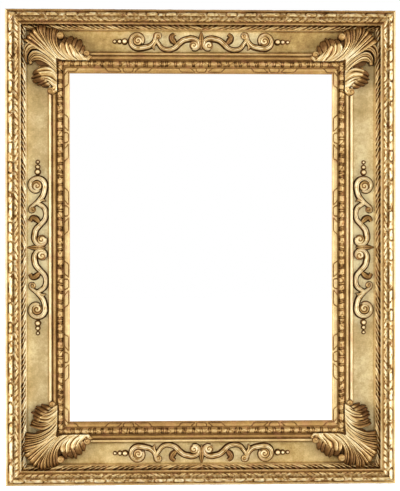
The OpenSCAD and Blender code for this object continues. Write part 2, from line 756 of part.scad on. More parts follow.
// end is -1 or 1, and the arm points away from the middle of the member when parked.
module turn_button(side, end) {
    color("#B9A26A") stand() on_side(side) translate([end * button_offset(side), button_s, button_z])
        difference() {
            union() {
                cylinder(r = button_w / 2, h = button_t);
                translate([end > 0 ? 0 : -button_arm + button_w / 2, -button_w / 2, 0])
                    cube([button_arm - button_w / 2, button_w, button_t]);
                translate([end * (button_arm - button_w / 2), 0, 0]) cylinder(r = button_w / 2, h = button_t);
            }
            translate([0, 0, -1]) cylinder(r = button_screw_r + button_clearance, h = button_t + 2);
        }
}

module button_screws() {
    color("#9C9686") stand() for (side = ["left", "right", "top", "bottom"], u = button_places(side))
        on_side(side) translate([u, button_s, button_z]) difference() {
            union() {
                translate([0, 0, -button_gap - button_head_h]) cylinder(r = button_head_r, h = button_head_h);
                translate([0, 0, -button_gap - 0.1])
                    cylinder(r = button_screw_r, h = button_screw_tip - button_z + button_gap + 0.1);
            }
            translate([-button_head_r, -0.4, -button_gap - button_head_h - 1])
                cube([2 * button_head_r, 0.8, 1.6]);
        }
}

module back_stile_left() back_member("left");
module back_stile_right() back_member("right");
module back_rail_top() back_member("top");
module back_rail_bottom() back_member("bottom");

back_stile_left();
back_stile_right();
back_rail_top();
back_rail_bottom();
lap_pegs();
outer_moulding("left");  // outer_moulding_left
outer_moulding("right");  // outer_moulding_right
outer_moulding("top");  // outer_moulding_top
outer_moulding("bottom");  // outer_moulding_bottom
sight_moulding("left");  // sight_moulding_left
sight_moulding("right");  // sight_moulding_right
sight_moulding("top");  // sight_moulding_top
sight_moulding("bottom");  // sight_moulding_bottom
moulding_nails();
corner_leaf(false, true);  // corner_leaf_top_left
corner_leaf(true, true);  // corner_leaf_top_right
corner_leaf(false, false);  // corner_leaf_bottom_left
corner_leaf(true, false);  // corner_leaf_bottom_right
scroll("left");  // scroll_left
scroll("right");  // scroll_right
scroll("top");  // scroll_top
scroll("bottom");  // scroll_bottom
bead_drops("left");  // bead_drops_left
bead_drops("right");  // bead_drops_right
bead_drops("top");  // bead_drops_top
bead_drops("bottom");  // bead_drops_bottom
hanger_strap(-1);  // hanger_strap_left
hanger_strap(1);  // hanger_strap_right
hanger_ring(-1);  // hanger_ring_left
hanger_ring(1);  // hanger_ring_right
hanger_screws();
turn_button("left", -1);  // turn_button_left_upper
turn_button("left", 1);  // turn_button_left_lower
turn_button("right", -1);  // turn_button_right_upper
turn_button("right", 1);  // turn_button_right_lower
turn_button("top", -1);  // turn_button_top_left
turn_button("top", 1);  // turn_button_top_right
turn_button("bottom", -1);  // turn_button_bottom_left
turn_button("bottom", 1);  // turn_button_bottom_right
button_screws();
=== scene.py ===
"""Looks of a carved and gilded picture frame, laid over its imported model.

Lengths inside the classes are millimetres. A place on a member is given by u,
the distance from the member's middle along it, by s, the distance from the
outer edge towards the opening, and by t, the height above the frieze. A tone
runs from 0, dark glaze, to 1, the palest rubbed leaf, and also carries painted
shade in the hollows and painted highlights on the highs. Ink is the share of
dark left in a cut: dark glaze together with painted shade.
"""
import logging
import math
from dataclasses import dataclass, field
from enum import Enum
from typing import Callable, ClassVar

import bpy
import numpy as np
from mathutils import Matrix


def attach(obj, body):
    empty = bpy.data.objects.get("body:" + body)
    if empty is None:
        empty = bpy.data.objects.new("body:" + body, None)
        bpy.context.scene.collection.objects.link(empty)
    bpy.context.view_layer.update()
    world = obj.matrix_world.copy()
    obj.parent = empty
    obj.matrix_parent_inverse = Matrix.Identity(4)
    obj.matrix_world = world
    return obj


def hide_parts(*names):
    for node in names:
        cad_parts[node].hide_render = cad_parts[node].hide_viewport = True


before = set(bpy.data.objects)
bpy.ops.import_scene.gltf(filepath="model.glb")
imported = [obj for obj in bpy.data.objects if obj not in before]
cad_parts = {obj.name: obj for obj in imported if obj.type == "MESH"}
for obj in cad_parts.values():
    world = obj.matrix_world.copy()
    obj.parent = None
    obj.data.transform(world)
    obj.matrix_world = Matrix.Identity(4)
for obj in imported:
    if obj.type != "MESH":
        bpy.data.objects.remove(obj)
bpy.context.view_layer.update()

log = logging.getLogger("gilded_frame")
Array = np.ndarray
Put = Callable[[Array, Array, Array], Array]
Socket = bpy.types.NodeSocket
MM = 0.001
BODY = "frame"
SHARP_ANGLE = math.radians(50)


class Side(Enum):
    """The four members of the frame."""

    LEFT = "left"
    RIGHT = "right"
    TOP = "top"
    BOTTOM = "bottom"

    def pick(self, stile: object, rail: object) -> object:
        """The first value for an upright member, the second for a level one."""
        return stile if self in (Side.LEFT, Side.RIGHT) else rail


class Corner(Enum):
    """The four corners, as the signs of x and z seen from the middle."""

    TOP_LEFT = (-1, 1)
    TOP_RIGHT = (1, 1)
    BOTTOM_LEFT = (-1, -1)
    BOTTOM_RIGHT = (1, -1)


def per_side(left: object, right: object, top: object, bottom: object) -> dict[Side, object]:
    """A table with one value for each member."""
    return dict(zip(Side, (left, right, top, bottom)))


@dataclass(frozen=True)
class FrameSizes:
    """Main sizes of the frame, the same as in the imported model."""

    width: float = 672.0
    height: float = 818.0
    top_z: float = 46.0
    back_t: float = 30.0
    rope_s: float = 27.5
    rope_mid: float = 31.75
    frieze_s: float = 36.0
    frieze_mid: float = 55.0
    sight_s: float = 74.0
    opening_s: float = 110.0
    leaf_root: float = 89.0
    stile_scroll: float = 124.0
    rail_scroll: float = 126.0

    @property
    def middle_z(self) -> float:
        """Height of the frame's middle."""
        return self.top_z - self.height / 2

    def length(self, side: Side) -> float:
        """Outside length of a member."""
        return side.pick(self.height, self.width)

    def mitred(self, side: Side, share: Array, s: Array) -> Array:
        """The distance u at a share of the member's length, which the mitres shorten by s at each end."""
        return share * (self.length(side) - 2 * s)

    def world(self, x: Array, t: Array, z: Array) -> Array:
        """Places in metres, with x, y and z in the last axis."""
        return np.stack(np.broadcast_arrays(x, -(self.back_t + t), z), axis=-1) * MM

    def place(self, side: Side, u: Array, s: Array, t: Array) -> Array:
        """World places in metres of points on a member.

        Stiles run down the frame and rails to the viewer's right.

        Args:
            side: the member.
            u: distance from the member's middle.
            s: distance from the outer edge.
            t: height above the frieze.

        Returns:
            An array of points with x, y and z in the last axis.
        """
        x, z = {
            Side.LEFT: (-self.width / 2 + s, self.middle_z - u),
            Side.RIGHT: (self.width / 2 - s, self.middle_z - u),
            Side.TOP: (u, self.top_z - s),
            Side.BOTTOM: (u, self.top_z - self.height + s),
        }[side]
        return self.world(x, t, z)

    def place_corner(self, corner: Corner, a: Array, b: Array, t: Array) -> Array:
        """World places in metres of points near a corner.

        Args:
            corner: the corner.
            a: distance from the upright outer edge.
            b: distance from the level outer edge.
            t: height above the frieze.

        Returns:
            An array of points with x, y and z in the last axis.
        """
        right, up = corner.value
        return self.world(right * (self.width / 2 - a), t, self.middle_z + up * (self.height / 2 - b))

    def ring(self, side: Side, share: Array, s: Array, t: Array) -> Array:
        """World places of the same section repeated along a mitred member, at shares of its length."""
        return self.place(side, self.mitred(side, share, s), s, t)


SIZES = FrameSizes()


def smooth_step(low: float, high: float, x: Array) -> Array:
    """Rises smoothly from 0 at low to 1 at high, as 3f^2 - 2f^3."""
    f = np.clip((x - low) / (high - low), 0.0, 1.0)
    return f * f * (3 - 2 * f)


def window(x: Array, rise_from: float, rise_to: float, fall_from: float, fall_to: float) -> Array:
    """Rises smoothly from 0 to 1 between the first two places, and falls back between the last two."""
    return smooth_step(rise_from, rise_to, x) * (1 - smooth_step(fall_from, fall_to, x))


def line_mark(distance: Array, width: float) -> Array:
    """A soft line, exp(-(distance/width)^2)."""
    return np.exp(-((distance / width) ** 2))


def wrap(u: Array, repeat: float) -> Array:
    """Distance along a repeat, between minus and plus half of it."""
    return (u + repeat / 2) % repeat - repeat / 2


def along_stops(x: Array, stops: tuple) -> Array:
    """Value at x on the straight lines between stops, which are pairs of a place and a value."""
    return np.interp(x, *np.transpose(stops))


def wander(x: Array, y: Array, seed: int) -> Array:
    """Smooth noise between -1 and 1: random values on a unit grid, blended between its points.

    Args:
        x: first coordinate, in grid units.
        y: second coordinate, in grid units.
        seed: which table of random values is used.

    Returns:
        The noise at each point.
    """
    size = 64
    table = np.random.default_rng(seed).random((size, size)) * 2 - 1
    x, y = np.broadcast_arrays(x, y)
    i, j = np.floor(x).astype(int), np.floor(y).astype(int)
    fx, fy = smooth_step(0, 1, x - i), smooth_step(0, 1, y - j)
    i0, i1, j0, j1 = i % size, (i + 1) % size, j % size, (j + 1) % size
    near = table[i0, j0] * (1 - fx) + table[i1, j0] * fx
    far = table[i0, j1] * (1 - fx) + table[i1, j1] * fx
    return near * (1 - fy) + far * fy


def arc(centre: tuple[float, float], rx: float, ry: float, start: float, end: float) -> Array:
    """Points on an ellipse between two angles in degrees."""
    angle = np.radians(np.linspace(start, end, 24))
    return np.stack([centre[0] + rx * np.cos(angle), centre[1] + ry * np.sin(angle)], axis=1)


def smooth_path(points: Array, steps: int = 8) -> Array:
    """Catmull-Rom curve through points: a cubic in each gap, with its slopes taken from the neighbours.

    Args:
        points: the points, one row each.
        steps: number of steps between neighbours.

    Returns:
        The points of the curve.
    """
    p = np.asarray(points, dtype=float)
    padded = np.vstack([p[:1], p, p[-1:]])
    a, b, c, d = (padded[k : k + len(p) - 1, None, :] for k in range(4))
    t = (np.arange(steps) / steps)[None, :, None]
    curve = 0.5 * (
        2 * b + (c - a) * t + (2 * a - 5 * b + 4 * c - d) * t**2 + (3 * b - a - 3 * c + d) * t**3
    )
    return np.vstack([curve.reshape(-1, p.shape[1]), p[-1:]])


def spiral(centre: tuple[float, float], turn: tuple[float, float], radius: tuple[float, float],
           bend: float, count: int) -> Array:
    """Spiral whose radius goes from its first to its last value as the share of the turn to the power bend.

    Args:
        centre: middle of the spiral.
        turn: first and last angle in degrees, from the second axis towards the first.
        radius: first and last radius.
        bend: how late it winds in.
        count: number of steps.

    Returns:
        The points of the spiral.
    """
    f = np.linspace(0, 1, count + 1)
    angle = np.radians(turn[0] + (turn[1] - turn[0]) * f)
    r = radius[0] + (radius[1] - radius[0]) * f**bend
    return np.stack([centre[0] + r * np.sin(angle), centre[1] + r * np.cos(angle)], axis=1)


def run_along(line: Array) -> Array:
    """Distance of each point of a line from its start, along it."""
    return np.concatenate([[0], np.cumsum(np.linalg.norm(np.diff(line, axis=0), axis=1))])


def resample(line: Array, count: int) -> Array:
    """The same line as a number of points an even step apart, with both ends kept."""
    run = run_along(line)
    return np.stack([np.interp(np.linspace(0, run[-1], count), run, column) for column in line.T], axis=1)


def even_steps(line: Array, step: float) -> Array:
    """The same line as points about a step apart, with both ends kept."""
    return resample(line, max(2, int(round(run_along(line)[-1] / step)) + 1))


def line_normals(line: Array) -> Array:
    """Unit vectors square to a plane line, (-dy, dx)/|d|."""
    way = np.gradient(line, axis=0)
    return np.stack([-way[:, 1], way[:, 0]], axis=1) / np.linalg.norm(way, axis=1)[:, None]


def with_skirt(row: Array, left: float, right: float) -> Array:
    """The values across a section with two more on each side, for the edge of its skirt and its foot."""
    return np.concatenate([[left, left], row, [right, right]])


@dataclass
class Shell:
    """A closed surface being put together: points, faces and the tone of the gilding."""

    points: list[Array] = field(default_factory=list)
    tones: list[Array] = field(default_factory=list)
    faces: list[Array] = field(default_factory=list)
    count: int = 0

    def add(self, points: Array, tones: Array, faces: list[Array]) -> None:
        """Adds one closed part, and turns its faces outwards.

        The volume is summed over the faces as fans of triangles, and where it
        is negative the order of each face is reversed.

        Args:
            points: places of the part's vertices, one row each.
            tones: tone of each vertex.
            faces: arrays of vertex numbers, one row for each face.
        """
        volume = 0.0
        for rows in faces:
            a = points[rows[:, 0]]
            for k in range(1, rows.shape[1] - 1):
                volume += np.einsum("ij,ij->", a, np.cross(points[rows[:, k]], points[rows[:, k + 1]]))
        order = -1 if volume < 0 else 1
        self.faces += [rows[:, ::order] + self.count for rows in faces]
        self.points.append(points)
        self.tones.append(np.clip(tones, 0, 1))
        self.count += len(points)

    def add_rings(self, rings: Array, tones: Array) -> None:
        """Adds a tube of closed rings with flat ends.

        Args:
            rings: places, with the first axis along the tube and the second around it.
            tones: tone of each place.
        """
        rows, around = rings.shape[:2]
        index = np.arange(rows * around).reshape(rows, around)
        after = np.roll(index, -1, axis=1)
        walls = np.stack([index[:-1], after[:-1], after[1:], index[1:]], axis=-1).reshape(-1, 4)
        ends = np.stack([index[0, ::-1], index[-1]])
        self.add(rings.reshape(-1, 3), tones.reshape(-1), [walls, ends])

    def build(self, name: str, slot: str, finish: bpy.types.Material,
              replaced: tuple[str, ...]) -> bpy.types.Object:
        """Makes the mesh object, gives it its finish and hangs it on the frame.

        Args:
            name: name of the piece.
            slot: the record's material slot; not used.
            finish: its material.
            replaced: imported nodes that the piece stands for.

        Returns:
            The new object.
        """
        mesh = bpy.data.meshes.new(name)
        points = np.concatenate(self.points)
        totals = np.concatenate([np.full(len(rows), rows.shape[1]) for rows in self.faces])
        starts = np.concatenate([[0], np.cumsum(totals)[:-1]])
        corners = np.concatenate([rows.reshape(-1) for rows in self.faces])
        mesh.vertices.add(len(points))
        mesh.vertices.foreach_set("co", points.astype(np.float32).reshape(-1))
        mesh.loops.add(len(corners))
        mesh.loops.foreach_set("vertex_index", corners.astype(np.int32))
        mesh.polygons.add(len(totals))
        mesh.polygons.foreach_set("loop_start", starts.astype(np.int32))
        mesh.polygons.foreach_set("use_smooth", np.ones(len(totals), dtype=bool))
        tone = mesh.attributes.new("tone", "FLOAT", "POINT")
        tone.data.foreach_set("value", np.concatenate(self.tones).astype(np.float32))
        mesh.update(calc_edges=True)
        mesh.validate()
        mesh.set_sharp_from_angle(angle=SHARP_ANGLE)
        mesh.materials.append(finish)
        piece = bpy.data.objects.new(name, mesh)
        bpy.context.scene.collection.objects.link(piece)
        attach(piece, BODY)
        if replaced:
            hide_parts(*replaced)
        log.info("%s: %d vertices, %d faces", name, len(points), len(totals))
        return piece


class Nodes:
    """Short hand for a material's or world's node tree."""

    def __init__(self, tree: bpy.types.NodeTree) -> None:
        """Starts from an empty tree."""
        self.tree = tree
        tree.nodes.clear()

    def node(self, kind: str, inputs: dict | None = None, **settings: object) -> bpy.types.Node:
        """Adds a node, sets its fields and its inputs; an input that is a socket is linked.

        Args:
            kind: the node's type name.
            inputs: value or socket by input name or number.
            settings: fields of the node itself.

        Returns:
            The new node.
        """
        made = self.tree.nodes.new(kind)
        for key, value in settings.items():
            setattr(made, key, value)
        for key, value in (inputs or {}).items():
            if isinstance(value, Socket):
                self.tree.links.new(value, made.inputs[key])
            else:
                made.inputs[key].default_value = value
        return made

    def out(self, kind: str, inputs: dict | None = None) -> Socket:
        """Adds a node and returns its first output."""
        return self.node(kind, inputs).outputs[0]

    def ramp(self, fac: Socket, stops: list[tuple[float, tuple]]) -> Socket:
        """Adds a colour ramp.

        Args:
            fac: what it reads.
            stops: pairs of a place and a colour.

        Returns:
            Its colour.
        """
        made = self.node("ShaderNodeValToRGB", {"Fac": fac})
        elements = made.color_ramp.elements
        while len(elements) > len(stops):
            elements.remove(elements[-1])
        while len(elements) < len(stops):
            elements.new(1.0)
        for element, (position, colour) in zip(elements, stops):
            element.position = position
            element.color = (*colour, 1.0)
        return made.outputs["Color"]

    def noise(self, at: Socket, scale: float, detail: float = 3.0) -> Socket:
        """Adds a noise texture and returns its value."""
        return self.out("ShaderNodeTexNoise", {"Vector": at, "Scale": scale, "Detail": detail})

    def math(self, operation: str, *values: object) -> Socket:
        """Adds a math node on the values and returns its result."""
        return self.node("ShaderNodeMath", dict(enumerate(values)), operation=operation).outputs[0]

    def mix(self, fac: Socket, a: object, b: object) -> Socket:
        """Mixes two colours and returns the result."""
        return self.node("ShaderNodeMix", {0: fac, 6: a, 7: b}, data_type="RGBA").outputs[2]

    def spread(self, value: Socket, low: float = 0.0, high: float = 1.0, seen_low: float = 0.0,
               seen_high: float = 1.0) -> Socket:
        """Carries a value from between the last two numbers to between the first two."""
        return self.out("ShaderNodeMapRange", {"Value": value, "From Min": seen_low, "From Max": seen_high,
                                               "To Min": low, "To Max": high})

    def bump(self, height: Socket, strength: float, distance: float) -> Socket:
        """Adds a bump from a height and returns its normal."""
        return self.out("ShaderNodeBump", {"Height": height, "Strength": strength, "Distance": distance})


@dataclass(frozen=True)
class Finish:
    """A finish: a material of one coat, whose inputs each kind of finish works out."""

    name: str

    def coat(self, n: Nodes, at: Socket) -> dict[str, object]:
        """The inputs of the coat, from the nodes and the place on the piece."""
        raise NotImplementedError

    def material(self) -> bpy.types.Material:
        """Makes the material.

        Returns:
            The new material.
        """
        made = bpy.data.materials.new(self.name)
        made.use_nodes = True
        n = Nodes(made.node_tree)
        at = n.node("ShaderNodeTexCoord").outputs["Object"]
        surface = n.out("ShaderNodeBsdfPrincipled", self.coat(n, at))
        n.node("ShaderNodeOutputMaterial", {"Surface": surface})
        return made


@dataclass(frozen=True)
class Gilding(Finish):
    """Leaf over bole, darkened in the hollows by dark glaze and painted shade, and paled on the highs by
    rubbing and painted highlights.

    The glaze is dull, so the gloss is a share of the tone.
    """

    dark: tuple = (0.058, 0.024, 0.006)
    brown: tuple = (0.190, 0.088, 0.024)
    gold: tuple = (0.46, 0.265, 0.080)
    pale: tuple = (0.75, 0.555, 0.250)
    cream: tuple = (0.94, 0.82, 0.52)
    bole: tuple = (0.46, 0.20, 0.095)
    red_share: float = 0.25
    mottle: float = 0.16
    metallic: float = 0.20
    roughness: float = 0.40
    gloss: float = 0.40

    def coat(self, n: Nodes, at: Socket) -> dict[str, object]:
        """A ramp over the tone plus three noises, with rubbed spots of bole on top.

        Args:
            n: the nodes.
            at: the place on the piece.

        Returns:
            The inputs of the coat.
        """
        tone = n.node("ShaderNodeAttribute", attribute_name="tone").outputs["Fac"]
        fine = n.noise(at, 420.0, 4.0)
        worn_and_shaded = tone
        for noise, share in ((n.noise(at, 26.0, 5.0), 2.0), (fine, 1.3), (n.noise(at, 150.0), 1.6)):
            part = n.math("MULTIPLY", n.math("SUBTRACT", noise, 0.5), self.mottle * share)
            worn_and_shaded = n.math("ADD", worn_and_shaded, part)
        gilt = n.ramp(worn_and_shaded, [(0.0, self.dark), (0.25, self.brown), (0.52, self.gold), (0.78, self.pale),
                             (1.0, self.cream)])
        rubbed = n.spread(n.noise(at, 75.0, 4.0), 0.0, self.red_share, 0.52, 0.70)
        return {"Base Color": n.mix(rubbed, gilt, (*self.bole, 1.0)), "Metallic": self.metallic,
                "Roughness": n.spread(fine, self.roughness - 0.08, self.roughness + 0.12),
                "Specular IOR Level": n.math("MULTIPLY", tone, self.gloss),
                "Normal": n.bump(fine, 0.25, 0.0004)}


@dataclass(frozen=True)
class OldWood(Finish):
    """Old softwood: growth rings drawn out along the member, darkened by age and handling."""

    along_z: bool
    early: tuple = (0.30, 0.165, 0.075)
    late: tuple = (0.13, 0.062, 0.026)
    stain: tuple = (0.075, 0.04, 0.02)

    def coat(self, n: Nodes, at: Socket) -> dict[str, object]:
        """Stretched noise cut into bands makes the grain, and a coarse noise stains it.

        Args:
            n: the nodes.
            at: the place on the piece.

        Returns:
            The inputs of the coat.
        """
        stretch = (9.0, 60.0, 1.2) if self.along_z else (1.2, 60.0, 9.0)
        drawn = n.out("ShaderNodeMapping", {"Vector": at, "Scale": stretch})
        bands = n.math("FRACT", n.math("MULTIPLY", n.noise(drawn, 5.0, 2.0), 9.0))
        fibre = n.noise(drawn, 42.0, 6.0)
        grain = n.math("ADD", n.math("MULTIPLY", bands, 0.6), n.math("MULTIPLY", fibre, 0.5))
        wood = n.ramp(grain, [(0.1, self.early), (0.75, self.late), (1.0, self.early)])
        stained = n.spread(n.noise(at, 7.0, 5.0), 0.0, 0.75, 0.42, 0.75)
        return {"Base Color": n.mix(stained, wood, (*self.stain, 1.0)), "Roughness": 0.72,
                "Normal": n.bump(grain, 0.3, 0.0005)}


@dataclass(frozen=True)
class OldMetal(Finish):
    """Metal dulled by age, with darker spots."""

    bright: tuple
    dull: tuple
    roughness: float = 0.38

    def coat(self, n: Nodes, at: Socket) -> dict[str, object]:
        """Two colours mixed by a noise, and a fine noise for the scratches.

        Args:
            n: the nodes.
            at: the place on the piece.

        Returns:
            The inputs of the coat.
        """
        spots = n.spread(n.noise(at, 180.0, 5.0), 0.0, 1.0, 0.35, 0.7)
        scratch = n.noise(at, 900.0)
        return {"Base Color": n.mix(spots, (*self.bright, 1.0), (*self.dull, 1.0)), "Metallic": 1.0,
                "Roughness": n.spread(scratch, self.roughness - 0.1, self.roughness + 0.2),
                "Normal": n.bump(scratch, 0.12, 0.0002)}


@dataclass(frozen=True)
class Form:
    """One raised form of a row: a rounded, flared and slanted block.

    centre and half give its place and half length along u at the middle of its
    width, low and high its reach in s, slant how far it leans along u for each
    millimetre of s, flare how much its half length grows, corner its corners'
    radius and lobes the pitch of the lobes along its inner edge.
    """

    centre: float
    half: float
    low: float
    high: float
    slant: float = 0.0
    flare: float = 0.0
    corner: float = 1.8
    lobes: float = 5.6

    def distance(self, u: Array, s: Array) -> Array:
        """Distance to the form's outline, negative inside: that of a rounded box in slanted axes.

        Args:
            u: distance along the repeat.
            s: distance across the row.

        Returns:
            The distance at each point.
        """
        lean = s - (self.low + self.high) / 2
        x = np.abs(u - self.centre - self.slant * lean) - (self.half + self.flare * lean) + self.corner
        y = np.abs(lean) - (self.high - self.low) / 2 + self.corner
        outside = np.hypot(np.maximum(x, 0), np.maximum(y, 0))
        return outside + np.minimum(np.maximum(x, y), 0) - self.corner


@dataclass(frozen=True)
class Carving:
    """What carving does to a surface: depth cut away, ink in the cuts and change of tone."""

    cut: Array
    ink: Array
    tone: Array | float = 0.0

    def within(self, share: Array) -> "Carving":
        """The same carving, faded by a share."""
        return Carving(self.cut * share, self.ink * share, self.tone * share)


def joined(parts: list[Carving]) -> Carving:
    """Several carvings in one: cuts and tones are added, and the strongest ink holds."""
    return Carving(sum(part.cut for part in parts), np.maximum.reduce([part.ink for part in parts]),
                   sum(part.tone for part in parts))


class Piece:
    """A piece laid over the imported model.

    title starts its name, slot is its material slot in the record, and node
    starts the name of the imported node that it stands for, if there is one.
    """

    title: ClassVar[str] = ""
    slot: ClassVar[str] = ""
    node: ClassVar[str] = ""

    @property
    def label(self) -> str:
        """The end of its name, which tells where it lies."""
        raise NotImplementedError

    def shape(self) -> Shell:
        """The closed surfaces of the piece."""
        raise NotImplementedError

    def build(self, finish: bpy.types.Material) -> bpy.types.Object:
        """Makes the object in its finish."""
        replaced = (f"{self.node}_{self.label}",) if self.node else ()
        return self.shape().build(f"{self.title}_{self.label}", self.slot, finish, replaced)


@dataclass
class MemberPiece(Piece):
    """A piece that lies on one member of the frame."""

    side: Side

    @property
    def label(self) -> str:
        """The member's name."""
        return self.side.value


@dataclass
class Moulding(MemberPiece):
    """A carved length of moulding with mitred ends.

    Its section is a line in s and t. The surface is the section carried along
    u, and every point is cut in along the section's normal by the carving.
    drift, shake, marks and wear are pairs of the size and the length of the
    noises that the carver's hand and time leave. tones are stops over the
    width: their darks in the hollows are painted shade, partly glaze, and their
    palest stops on the fillets painted highlight, partly rubbed leaf. shades are
    painted light and shade that shift them at the places shade_at for each
    member, which stands in its own light. glaze is the strength of the ink on
    the stiles and on the rails, and shifts are where each member's pattern starts.
    """

    step: float = 1.15
    mitre_plain: float = 3.0
    foot_tone: float = 0.3
    near: float = 0.0
    far: float = 36.0
    seed: int = 10
    drift: tuple[float, float] = (1.4, 23.0)
    shake: tuple[float, float] = (0.5, 5.0)
    marks: tuple[float, float] = (0.18, 9.0)
    fine_marks: float = 0.12
    wear: tuple[float, float] = (0.07, 30.0)
    pore_depth: float = 0.7
    pore_ink: float = 0.62

    glaze: ClassVar[tuple[float, float]] = (0.88, 0.68)
    tones: ClassVar[tuple] = ()
    shade_at: ClassVar[tuple] = ()
    shades: ClassVar[dict[Side, tuple]] = {}
    shifts: ClassVar[dict[Side, float]] = {}

    def section(self) -> Array:
        """The visible line of the section, from the outer to the inner foot."""
        raise NotImplementedError

    def carve(self, u: Array, s: Array) -> Carving:
        """The carving at points of the surface."""
        raise NotImplementedError

    def by_hand(self, u: Array, s: Array) -> Array:
        """The distance u as the carver's hand kept it: a slow drift and a quick shake are added."""
        slow = self.drift[0] * wander(u / self.drift[1], s / 9, self.seed + 1)
        return u + slow + self.shake[0] * wander(u / self.shake[1], s / 4, self.seed + 2)

    def worn_and_shaded(self, rows: Carving, u: Array, s: Array, glaze: Array | float,
             pores: Array | float = 0.0) -> Carving:
        """Adds the tool marks, the pores and the wear to the carved rows, and the section's tone with the
        painted light and shade of its member.

        The marks are a mean depth with a coarse and a fine noise about it. Where
        the rows are inked, the tone falls by the share of the glaze.

        Args:
            rows: the carved rows.
            u: distance from the member's middle.
            s: distance from the outer edge.
            glaze: strength of the ink.
            pores: share of broken ground.

        Returns:
            The finished carving.
        """
        d = s - self.near
        marks = self.marks[0] * (1 + wander(u / self.marks[1], s / 5, self.seed + 3))
        marks = marks + self.fine_marks * wander(u / 2.4, s / 2.4, self.seed + 4)
        uneven = 1 + 0.3 * wander(u / 6, s / 6, self.seed + 5)
        ink = np.maximum(np.clip(rows.ink * uneven, 0, 1), self.pore_ink * pores)
        # the section's stops, the member's painted light and shade, and the rows' tone
        tone = along_stops(d, self.tones) + np.interp(d, self.shade_at, self.shades[self.side]) + rows.tone
        tone = tone + self.wear[0] * wander(u / self.wear[1], s / 20, self.seed + 6)
        cut = np.maximum(rows.cut + marks + self.pore_depth * pores, 0)
        # where inked the tone falls: dark glaze and painted shade in the cuts
        return Carving(cut, ink, tone * (1 - glaze * ink))

    def shape(self) -> Shell:
        """The moulding as one closed tube.

        Every ring holds the section's points, cut in along their normals, and
        the flat foot. The carving grows shallow at the mitres.

        Returns:
            The shell.
        """
        line = self.section()
        count = int(SIZES.length(self.side) / self.step)
        share = np.linspace(-0.5, 0.5, count)[:, None]
        s, t = line[None, :, 0], line[None, :, 1]
        u = SIZES.mitred(self.side, share, s)
        carving = self.carve(u, s)
        to_mitre = SIZES.length(self.side) / 2 - s - np.abs(u)
        depth = carving.cut * (0.25 + 0.75 * smooth_step(0.0, self.mitre_plain, to_mitre))
        depth[:, [0, -1]] = 0.0
        normal = line_normals(line)
        new_s = np.clip(s - normal[:, 0] * depth, self.near, self.far)
        top = SIZES.ring(self.side, share, new_s, np.maximum(t - normal[:, 1] * depth, 0.0))
        foot = SIZES.ring(self.side, share, np.linspace(self.far, self.near, 4)[None, 1:3], 0.0)
        tones = np.concatenate([carving.tone, np.full((count, 2), self.foot_tone)], axis=1)
        shell = Shell()
        shell.add_rings(np.concatenate([top, foot], axis=1), tones)
        return shell


